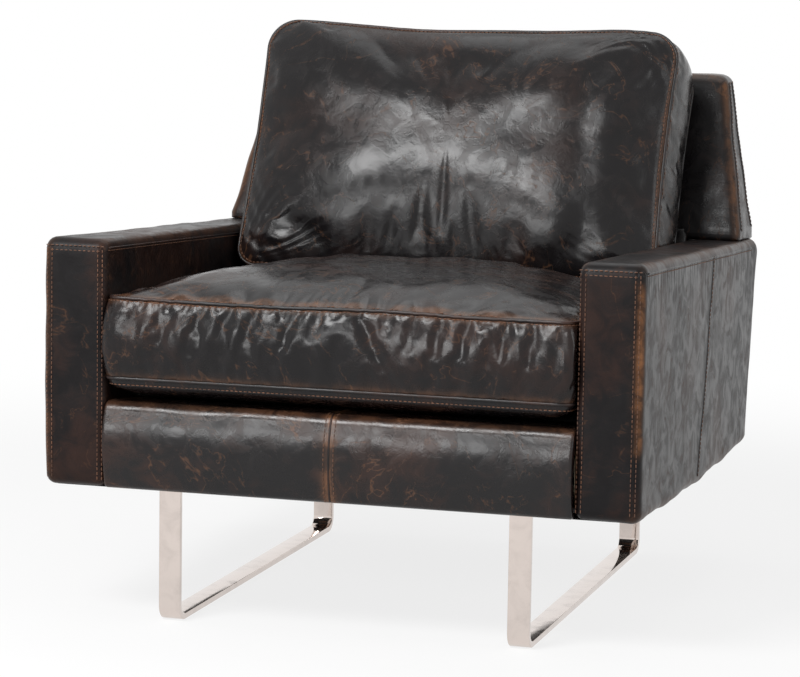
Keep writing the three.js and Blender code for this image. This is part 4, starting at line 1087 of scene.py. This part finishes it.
def plumped(rings, pinned, limit, slack, bending):
    """Runs a short cloth simulation with air pressure on a form's rings and returns the result.

    Pinned points stay; every other point moves by at most the limit, and inwards by at most
    INWARD_LIMIT, so that the foam stays covered. Slack lets the leather grow a little, so that
    it gathers between its seams.
    """
    form = shell("stuffing_form", rings, thread_look())
    mesh = form.data
    count = len(mesh.vertices)
    start = np.zeros(count * 3, np.float32)
    mesh.vertices.foreach_get("co", start)
    group = form.vertex_groups.new(name="sewn")
    group.add(np.flatnonzero(np.r_[pinned.reshape(-1), True, False]).tolist(), 1.0, "REPLACE")
    cloth = form.modifiers.new("stuffing", "CLOTH")
    settings = cloth.settings
    settings.quality = 5
    settings.mass = 0.35
    settings.tension_stiffness = 18
    settings.compression_stiffness = 18
    settings.shear_stiffness = 8
    settings.bending_stiffness = bending
    settings.air_damping = 3
    settings.vertex_group_mass = "sewn"
    settings.use_pressure = True
    settings.uniform_pressure_force = sizes().stuffing
    settings.shrink_min = -slack
    settings.effector_weights.gravity = 0
    cloth.collision_settings.use_collision = False
    cloth.collision_settings.use_self_collision = False
    for step in range(1, SETTLING_FRAMES + 1):
        bpy.context.scene.frame_set(step)
    shown = form.evaluated_get(bpy.context.evaluated_depsgraph_get())
    settled = np.zeros(count * 3, np.float32)
    shown.data.vertices.foreach_get("co", settled)
    bpy.data.objects.remove(form)
    bpy.data.meshes.remove(mesh)
    bpy.context.scene.frame_set(1)
    moved = 1000.0 * (settled - start).reshape(-1, 3).astype(float)
    length = np.linalg.norm(moved, axis=1, keepdims=True)
    if not np.isfinite(length).all():
        raise RuntimeError("The stuffing simulation didn't settle")
    moved *= np.minimum(1, limit * np.tanh(length / limit) / np.maximum(length, 1e-9))
    moved = moved[:-2].reshape(rings.shape)
    outward = ring_normals(rings)
    inward = np.minimum((moved * outward).sum(-1, keepdims=True) + INWARD_LIMIT, 0)
    return rings + moved - outward * inward


def refined(rings):
    """Twice as many points both ways, each new one on a cubic through its four neighbours."""
    def middle(p0, p1, p2, p3):
        return (9 * (p1 + p2) - p0 - p3) / 16

    stations, around = rings.shape[:2]
    finer = np.empty((stations, 2 * around, 3))
    finer[:, ::2] = rings
    finer[:, 1::2] = middle(np.roll(rings, 1, 1), rings, np.roll(rings, -1, 1), np.roll(rings, -2, 1))
    padded = np.concatenate([finer[:1], finer, finer[-1:]])
    result = np.empty((2 * stations - 1, 2 * around, 3))
    result[::2] = finer
    result[1::2] = middle(padded[:-3], padded[1:-2], padded[2:-1], padded[3:])
    return result


def refined_mark(values):
    """Marks for the refined points, straight between their neighbours."""
    stations, around = values.shape
    finer = np.empty((stations, 2 * around))
    finer[:, ::2] = values
    finer[:, 1::2] = (values + np.roll(values, -1, 1)) / 2
    result = np.empty((2 * stations - 1, 2 * around))
    result[::2] = finer
    result[1::2] = (finer[:-1] + finer[1:]) / 2
    return result


def tilted(points, angle, origin):
    """Points of a cushion's own frame turned about X and put at a depth and height."""
    cos, sin = np.cos(angle), np.sin(angle)
    y, z = points[..., 1], points[..., 2]
    return np.stack([points[..., 0], y * cos - z * sin + origin[0], y * sin + z * cos + origin[1]], -1)


def seat_gathers(x, t):
    """Upright folds in the seat's front boxing, deepest by the top seam and near both ends."""
    left = bell(x, -200, 90) + 0.55 * bell(x, -120, 30)
    right = bell(x, 240, 75)
    fade = np.sin(np.pi * t) ** 0.8 * (0.35 + 0.65 * t)
    phase = x + 22 * (1 - t) + 5 * np.sin(x / 23)
    wave = np.cos(2 * np.pi * phase / 41)
    fine = 0.45 * np.cos(2 * np.pi * (x - 30 * (1 - t)) / 17.0)
    ridge = 1.2 * np.exp(-(((x + 34) + 46 * (1 - t)) / 8) ** 2)
    ridge -= 1.6 * np.exp(-(((x - 26) - 62 * (1 - t)) / 9) ** 2)
    return 3.4 * fade * ((wave + fine) * (0.14 + 0.86 * np.maximum(left, right)) + 0.8 * ridge)


def back_slump(p, q):
    """How far the back cushion's lower front hangs below its solid, so that it meets the seat."""
    return 23.0 * smooth((p - 75) / 95) * smooth((250 - q) / 150)


def seat_pressed(points):
    """Lowers the seat's top to where the back cushion rests on it."""
    cos, sin = np.cos(SEAT_PITCH), np.sin(SEAT_PITCH)
    y = points[..., 1] * cos + points[..., 2] * sin - DECK_REAR
    z = points[..., 2] * cos - points[..., 1] * sin
    back = -y * np.cos(BACK_RAKE) + z * np.sin(BACK_RAKE)
    over = y * np.sin(BACK_RAKE) + z * np.cos(BACK_RAKE) - (BACK_FOOT - back_slump(back, BACK_FOOT)) + 0.3
    drop = np.log1p(np.exp(np.clip(over / 3, -30, 30))) * 3
    points[..., 2] -= drop / np.cos(BACK_RAKE - SEAT_PITCH)
    return points


class CLUBCHAIR_OT_seat_cushion(bpy.types.Operator):
    """Makes the loose seat cushion: stuffed, gathered at its front and pressed at its rear"""
    bl_idname = "club_chair.seat_cushion"
    bl_label = "Seat cushion"

    def execute(self, context):
        plan = cushion_plan(BODY_HALF - 2.5, SEAT_NOSE, SEAT_DEPTH, 20, 16)
        rings, t, first, last = cushion_rings(
            plan, SEAT_LOW_SEAM, SEAT_TOP_SEAM, SEAT_CROWN, SEAT_FULLNESS, 9.0)
        flat = rings.copy()
        x, y, z = rings[..., 0], rings[..., 1], rings[..., 2]
        t_grid = np.broadcast_to(t[:, None], x.shape)
        boxing = (t_grid > 0) & (t_grid < 1)
        front = smooth((8 - y) / 16) * boxing
        rings[..., 1] -= front * seat_gathers(x, t_grid)
        on_top = smooth((z - 132) / 12)
        rings[..., 2] += on_top * (1.5 * undulation(flat, 150, 51) + 0.8 * undulation(flat, 70, 52))
        rings[..., 2] += 1.6 * np.sin(x / 57 + 0.6) * bell(z, SEAT_TOP_SEAM, 14) * smooth((60 - y) / 80)
        rings[..., 2] -= 3.0 * smooth((x - 120) / 200) * on_top
        rings[..., 2] += 6.0 * bell(y, 455, 75) * on_top * smooth((300 - np.abs(x)) / 160)
        rings[..., 2] = np.maximum(rings[..., 2], flat[..., 2] - 0.6)
        rings[..., 1] += 5 * (z / SEAT_TOP_SEAM) * np.clip(1 - y / SEAT_DEPTH, 0, None)
        rings[..., 0] = np.clip(rings[..., 0], -BODY_HALF, BODY_HALF)
        rings = seat_pressed(rings)
        placed = tilted(rings, -SEAT_PITCH, (0.0, DECK_FRONT))
        along_front = bell(flat[..., 1], SEAT_NOSE, 20)
        seam_wear = bell(t_grid, 1, 0.05) + 0.9 * bell(t_grid, 0, 0.06) * along_front
        edge = np.where((flat[..., 2] > 130) & (flat[..., 2] < 141), 1.0, 0.0)
        marks = leather_marks(
            np.clip(0.24 * seam_wear * (edge + (t_grid < 0.5)), 0, 1) * (t_grid > 0),
            bell(t_grid, 0.9, 0.22) * boxing, bell(t_grid, 1, 0.03) * (t_grid < 1))
        pinned = np.zeros(rings.shape[:2], bool)
        pinned[: first + 1] = True
        pinned[last] = True
        pinned |= flat[..., 1] > 430
        limit = 1000 * sizes().plump
        settled = plumped(placed, pinned, 0.55 * limit, 0.022, 1.2)
        sewn_cushion("seat", settled, marks, (first, last), "seat_cushion_cover",
                     leather_look("seat_leather", 0.26, 0.24, 0.85, 0.27))
        return {"FINISHED"}


def sewn_cushion(word, rings, marks, seams, node, look):
    """A cushion's leather from its settled rings, with welts and stitches along its seams."""
    low = rings[..., 2] < ARM_HEIGHT - 30
    held = np.clip(rings[..., 0], -BODY_HALF - 0.2, BODY_HALF + 0.2)
    rings[..., 0] = np.where(low, held, rings[..., 0])
    finer = refined(rings)
    cushion = shell(f"{word}_cushion", finer, look,
                    {name: refined_mark(values) for name, values in marks.items()})
    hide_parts(node)
    normals = ring_normals(finer)
    welts, rows = [], []
    for ring, step in ((2 * seams[0], -1), (2 * seams[1], 1)):
        welts.append((finer[ring] + 0.4 * normals[ring], normals[ring]))
        for beside in (3 * step, -2 * step) if step > 0 else (2 * step,):
            path, outward = finer[ring + beside], normals[ring + beside]
            rows.append((np.concatenate([path, path[:1]]), np.concatenate([outward, outward[:1]])))
    cords(f"{word}_cushion_welts", welts, 1000 * sizes().welt_radius, seam_look())
    sew(f"{word}_cushion_stitches", lifted(rows, 0.35))


class CLUBCHAIR_OT_back_cushion(bpy.types.Operator):
    """Makes the loose back cushion: full, slumped to the right, creased at its corners"""
    bl_idname = "club_chair.back_cushion"
    bl_label = "Back cushion"

    def execute(self, context):
        low, high = BACK_FOOT, BACK_HEAD
        plan = cushion_plan(BACK_HALF, low, high, 30, 44)
        rings, t, first, last = cushion_rings(
            plan, BACK_LOW_SEAM, BACK_TOP_SEAM, BACK_CROWN, BACK_FULLNESS, 7.0)
        flat = rings.copy()
        x, q, p = flat[..., 0], flat[..., 1], flat[..., 2]
        t_grid = np.broadcast_to(t[:, None], x.shape)
        share = (x / BACK_HALF + 1) / 2
        height = np.clip((q - low) / (high - low), 0, 1)
        rings[..., 1] -= 9 * share ** 3 * height ** 2
        wavy = 6.0 * bell(x, 230, 75) - 4.5 * bell(x, -60, 90)
        rings[..., 1] += (wavy + 2.0 * bell(x, -250, 50)) * smooth((height - 0.7) / 0.3)
        front = smooth((p - 160) / 14)
        two_lobes = 2.8 * bell(height, 0.67, 0.12) + 2.8 * bell(height, 0.36, 0.13)
        valley = -4.0 * np.exp(-((x - 205 + 18 * height) / 26) ** 2) * bell(height, 0.5, 0.42)
        corner_left = np.exp(-((x + 262) / 52) ** 2 - ((height - 0.12) / 0.16) ** 2)
        corner_right = np.exp(-((x - 262) / 50) ** 2 - ((height - 0.9) / 0.13) ** 2)
        fan = np.cos(2 * np.pi * (x + 0.9 * (q - low)) / 27) * corner_left
        fan += np.cos(2 * np.pi * (x + 0.55 * q) / 24) * corner_right
        rings[..., 2] += front * (two_lobes + valley + 2.2 * fan + 1.2 * undulation(flat, 170, 61)
                                  + 0.3 * undulation(flat, 60, 62))
        boxing = (t_grid > 0) & (t_grid < 1)
        top_puckers = 1.5 * np.cos(2 * np.pi * x / 33) * np.sin(np.pi * t_grid)
        top_puckers = top_puckers * smooth((height - 0.9) / 0.1)
        rings[..., 1] += boxing * top_puckers
        rings[..., 1] = np.maximum(rings[..., 1], low) - back_slump(rings[..., 2], rings[..., 1])
        placed = tilted(rings, np.pi / 2 - BACK_RAKE, (DECK_REAR, DECK_FRONT))
        seam_wear = bell(t_grid, 1, 0.05) * (p < 171)
        marks = leather_marks(0.22 * seam_wear * (t_grid > 0), 0.6 * bell(t_grid, 1, 0.12) * boxing,
                              bell(t_grid, 1, 0.03) * boxing)
        pinned = np.zeros(rings.shape[:2], bool)
        pinned[: first + 1] = True
        pinned[last] = True
        pinned |= flat[..., 1] < low + 25
        settled = plumped(placed, pinned, 500 * sizes().plump, 0.012, 1.6)
        sewn_cushion("back", settled, marks, (first, last), "back_cushion_cover",
                     leather_look("back_leather_soft", 0.20, 0.24, 0.8, 0.25))
        return {"FINISHED"}


# Legs and underside


def bar_section(width, thickness, edge):
    """Cross-section of flat bar with rounded edges, as (n, 2) points: across and outwards."""
    half_w, half_t = width / 2, thickness / 2
    corners = [(-half_w, -half_t), (half_w, -half_t), (half_w, half_t), (-half_w, half_t)]
    points = []
    for (x, z), turn in zip(corners, (180, 270, 0, 90)):
        centre = np.array([x - np.sign(x) * edge, z - np.sign(z) * edge])
        angles = np.radians(turn + np.array([0, 30, 60, 90]))
        points.append(centre + edge * np.column_stack([np.cos(angles), np.sin(angles)]))
    return np.concatenate(points)


def leg_path(front, rear, thickness, radius):
    """Middle line of the bar in the side view: down, round a bend, back, round a bend, up."""
    clear = 1.9
    top_front, top_rear = underside(front) - clear, underside(rear) - clear
    middle = thickness / 2
    first, last = front + middle, rear - middle
    r = radius - middle
    angles = np.radians(np.linspace(180, 270, 13))
    height = middle + r + r * np.sin(angles)
    bend_front = np.column_stack([first + r + r * np.cos(angles), height])
    bend_rear = np.column_stack([last - r - r * np.cos(angles), height])[::-1]
    down = np.array([[first, top_front], [first, top_front - 4], [first, 90]])
    up = np.array([[last, 90], [last, top_rear - 4], [last, top_rear]])
    along = np.linspace(bend_front[-1, 0] + 4, bend_rear[0, 0] - 4, 6)
    return np.concatenate([down, bend_front, np.column_stack([along, np.full(6, middle)]), bend_rear, up])


def swept_bar(path, section, x):
    """Section carried along a side-view path at a distance across, as stacked rings."""
    along = unit(np.gradient(path, axis=0))
    outward = np.column_stack([-along[:, 1], along[:, 0]])
    flat = path[:, None] + section[None, :, 1:] * outward[:, None]
    across = np.broadcast_to(x + section[None, :, 0], flat.shape[:2])
    return np.concatenate([across[..., None], flat], -1)


class CLUBCHAIR_OT_sled_legs(bpy.types.Operator):
    """Makes the two sled legs of bent flat bar with their straps under the body"""
    bl_idname = "club_chair.sled_legs"
    bl_label = "Sled legs"

    def execute(self, context):
        edge = 1000 * sizes().bar_edge
        strap_inset, clear = 8.3, 1.6
        for side, word in ((-1, "left"), (1, "right")):
            x = side * LEG_PLACE
            bar = swept_bar(leg_path(LEG_FRONT, LEG_REAR, BAR_THICKNESS, BAR_BEND),
                            bar_section(BAR_WIDTH, BAR_THICKNESS, edge), x)
            depths = np.linspace(LEG_FRONT + strap_inset, LEG_REAR - strap_inset, 12)
            strap_line = np.column_stack([depths, underside(depths) - clear - STRAP_THICKNESS / 2])
            strap = swept_bar(strap_line, bar_section(BAR_WIDTH, STRAP_THICKNESS, 0.6), x)
            form = joined([closed_rings(bar), closed_rings(strap)])
            leg = mesh_piece(f"sled_bar_{word}", form, chrome_look())
            recalculate(leg)
            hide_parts(f"sled_leg_{word}")
        return {"FINISHED"}


def recalculate(piece):
    """Turns every face of a closed piece outwards."""
    work = bmesh.new()
    work.from_mesh(piece.data)
    bmesh.ops.recalc_face_normals(work, faces=work.faces)
    work.to_mesh(piece.data)
    work.free()


class CLUBCHAIR_OT_underside(bpy.types.Operator):
    """Makes the dust cloth that hangs slightly slack under the body"""
    bl_idname = "club_chair.underside"
    bl_label = "Underside"

    def execute(self, context):
        x, y = np.meshgrid(np.linspace(-CLOTH_HALF, CLOTH_HALF, 90),
                           np.linspace(CLOTH_FRONT, CLOTH_REAR, 80), indexing="ij")
        back = (y - CLOTH_FRONT) / (CLOTH_REAR - CLOTH_FRONT)
        slack = np.sin(np.pi * (x + CLOTH_HALF) / (2 * CLOTH_HALF)) * np.sin(np.pi * back)
        between_legs = smooth((np.abs(np.abs(x) - LEG_PLACE) - 20) / 40)
        z = underside(y) - 0.8 - slack * between_legs * 3.0
        z -= 0.35 * between_legs * slack ** 0.5 * np.sin(x / 23) * np.sin(y / 31)
        form = np.stack([x, y, z], -1).reshape(-1, 3), grid_faces(*x.shape), NO_TRIANGLES
        cloth = mesh_piece("dust_sheet", form, cloth_look())
        add_wall(cloth, 0.0008, 0.0)
        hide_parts("dust_cloth")
        return {"FINISHED"}


class CLUBCHAIR_OT_inner_parts(bpy.types.Operator):
    """Gives the frame, foam, springs and straps inside their own materials"""
    bl_idname = "club_chair.inner_parts"
    bl_label = "Inner parts"

    def execute(self, context):
        looks = {"hardwood": wood_look, "foam": foam_look, "cloth": cloth_look,
                 "spring_steel": steel_look, "chrome": chrome_look, "leather": leather_look}
        for part in frame["record"]["subparts"]:
            node = frame["nodes"][part["node"]]
            for place in node.material_slots:
                place.material = looks[part["material_slot"]]()
        return {"FINISHED"}


# Stage


def soft_lamp(name, place, aim, width, height, power):
    """A rectangular softbox at a place, turned to face a point."""
    light = bpy.data.lights.new(name, "AREA")
    light.shape = "RECTANGLE"
    light.size, light.size_y = width, height
    light.energy = power
    lamp = bpy.data.objects.new(name, light)
    bpy.context.scene.collection.objects.link(lamp)
    lamp.location = place
    lamp.rotation_mode = "QUATERNION"
    lamp.rotation_quaternion = (Vector(aim) - Vector(place)).to_track_quat("-Z", "Y")


class CLUBCHAIR_OT_stage(bpy.types.Operator):
    """Makes the camera, the pale floor and background and the soft studio lamps"""
    bl_idname = "club_chair.stage"
    bl_label = "Stage"

    def execute(self, context):
        self.camera()
        self.floor()
        self.world()
        soft_lamp("front_softbox", (-0.78, -2.05, 2.28), (0.0, 0.0, 0.55), 1.3, 0.8, 66)
        soft_lamp("strip_softbox", (-0.9, -2.9, 1.15), (0.0, -0.4, 0.40), 1.6, 0.45, 26)
        soft_lamp("top_softbox", (0.1, 0.7, 2.6), (0.0, 0.0, 0.4), 1.6, 1.1, 9)
        soft_lamp("side_softbox", (2.4, -0.6, 1.3), (0.3, 0.1, 0.5), 0.5, 1.5, 9)
        bpy.context.scene.view_settings.view_transform = "Standard"
        return {"FINISHED"}

    def camera(self):
        """Camera of the photograph: azimuth, height angle, roll and distance to a target."""
        azimuth, elevation, roll = np.radians([16.144, 7.711, 0.9286])
        distance, focal_pixels, image_width, film = 4.41011, 3189.51, 800, 36.0
        target = np.array([-0.00025, 0.300 + ARM_FRONT, 0.36315])
        back = np.array([np.sin(azimuth) * np.cos(elevation), -np.cos(azimuth) * np.cos(elevation),
                         np.sin(elevation)])
        right = unit(np.cross(-back, [0, 0, 1]))
        up = np.cross(right, -back)
        turned_right = np.cos(roll) * right + np.sin(roll) * up
        turned_up = -np.sin(roll) * right + np.cos(roll) * up
        data = bpy.data.cameras.new("photo_camera")
        data.sensor_width = film
        data.lens = film * focal_pixels / image_width
        camera = bpy.data.objects.new("photo_camera", data)
        bpy.context.scene.collection.objects.link(camera)
        place = target + back * distance
        axes = np.column_stack([turned_right, turned_up, back])
        camera.matrix_world = Matrix([[*axes[r], place[r]] for r in range(3)] + [[0, 0, 0, 1]])
        data.clip_end = 60
        bpy.context.scene.camera = camera

    def floor(self):
        """Pale floor that keeps a soft shadow and otherwise looks white to the camera."""
        mesh = bpy.data.meshes.new("studio_floor")
        half = 14.0
        low = -0.0004
        corners = [(-half, -half, low), (half, -half, low), (half, half, low), (-half, half, low)]
        mesh.from_pydata(corners, [], [(0, 1, 2, 3)])
        floor = bpy.data.objects.new("studio_floor", mesh)
        bpy.context.scene.collection.objects.link(floor)
        look = Look("pale_floor")
        look.give("Base Color", look.mix(look.noise(3.0), (0.80, 0.80, 0.80), (0.82, 0.82, 0.82)))
        look.plain(Roughness=0.8)
        glow = look.node("ShaderNodeEmission")
        glow.inputs["Strength"].default_value = 1.0
        seen = look.node("ShaderNodeLightPath")
        shown = look.maths("MAXIMUM", seen.outputs["Is Camera Ray"], seen.outputs["Is Glossy Ray"])
        shown = look.maths("MAXIMUM", shown, seen.outputs["Is Transmission Ray"])
        reach = look.node("ShaderNodeVectorMath", operation="LENGTH")
        look.link(look.place, reach.inputs[0])
        near, far = 0.9, 2.2
        share = look.maths("MULTIPLY", shown, look.ramp(reach.outputs["Value"], near, far, 0.8, 1.0))
        blend = look.node("ShaderNodeMixShader")
        look.link(share, blend.inputs["Fac"])
        look.link(look.shader.outputs[0], blend.inputs[1])
        look.link(glow.outputs[0], blend.inputs[2])
        look.link(blend.outputs[0], look.tree.nodes["Material Output"].inputs["Surface"])
        mesh.materials.append(look.material)

    def world(self):
        """White to the camera, reflections and glass; plain and soft as a light."""
        world = bpy.data.worlds.new("studio_world")
        bpy.context.scene.world = world
        world.use_nodes = True
        nodes, links = world.node_tree.nodes, world.node_tree.links
        background = nodes["Background"]
        background.inputs["Color"].default_value = (1, 1, 1, 1)
        path = nodes.new("ShaderNodeLightPath")
        seen = nodes.new("ShaderNodeMath")
        seen.operation = "MAXIMUM"
        links.new(path.outputs["Is Camera Ray"], seen.inputs[0])
        links.new(path.outputs["Is Glossy Ray"], seen.inputs[1])
        clear = nodes.new("ShaderNodeMath")
        clear.operation = "MAXIMUM"
        links.new(seen.outputs[0], clear.inputs[0])
        links.new(path.outputs["Is Transmission Ray"], clear.inputs[1])
        level = nodes.new("ShaderNodeMapRange")
        lighting, shown = 0.35, 1.0
        level.inputs["To Min"].default_value = lighting
        level.inputs["To Max"].default_value = shown
        links.new(clear.outputs[0], level.inputs["Value"])
        links.new(level.outputs["Result"], background.inputs["Strength"])


class CLUBCHAIR_PT_panel(bpy.types.Panel):
    """Sidebar panel that lists the chair's pieces"""
    bl_label = "Club Chair"
    bl_idname = "CLUBCHAIR_PT_panel"
    bl_space_type = "VIEW_3D"
    bl_region_type = "UI"
    bl_category = "Club Chair"

    def draw(self, context):
        for group in (context.scene.club_chair_sizes, context.scene.club_chair_colours):
            column = self.layout.column(align=True)
            for name in group.__annotations__:
                column.prop(group, name)
        column = self.layout.column(align=True)
        for operator in OPERATORS:
            column.operator(operator.bl_idname)


OPERATORS = (
    CLUBCHAIR_OT_stage, CLUBCHAIR_OT_inner_parts, CLUBCHAIR_OT_arms, CLUBCHAIR_OT_back,
    CLUBCHAIR_OT_front_rail, CLUBCHAIR_OT_seat_cushion, CLUBCHAIR_OT_back_cushion,
    CLUBCHAIR_OT_sled_legs, CLUBCHAIR_OT_underside,
)
CLASSES = (ChairSizes, ChairColours, *OPERATORS, CLUBCHAIR_PT_panel)


def register():
    """Registers the classes and puts the settings on the scene."""
    for item in CLASSES:
        bpy.utils.register_class(item)
    bpy.types.Scene.club_chair_sizes = bpy.props.PointerProperty(type=ChairSizes)
    bpy.types.Scene.club_chair_colours = bpy.props.PointerProperty(type=ChairColours)


def unregister():
    """Removes the settings and the classes."""
    del bpy.types.Scene.club_chair_colours
    del bpy.types.Scene.club_chair_sizes
    for item in reversed(CLASSES):
        bpy.utils.unregister_class(item)


def main():
    """Registers the classes and makes every piece in order."""
    register()
    for operator in OPERATORS:
        group, name = operator.bl_idname.split(".")
        getattr(getattr(bpy.ops, group), name)()


if __name__ == "__main__":
    main()
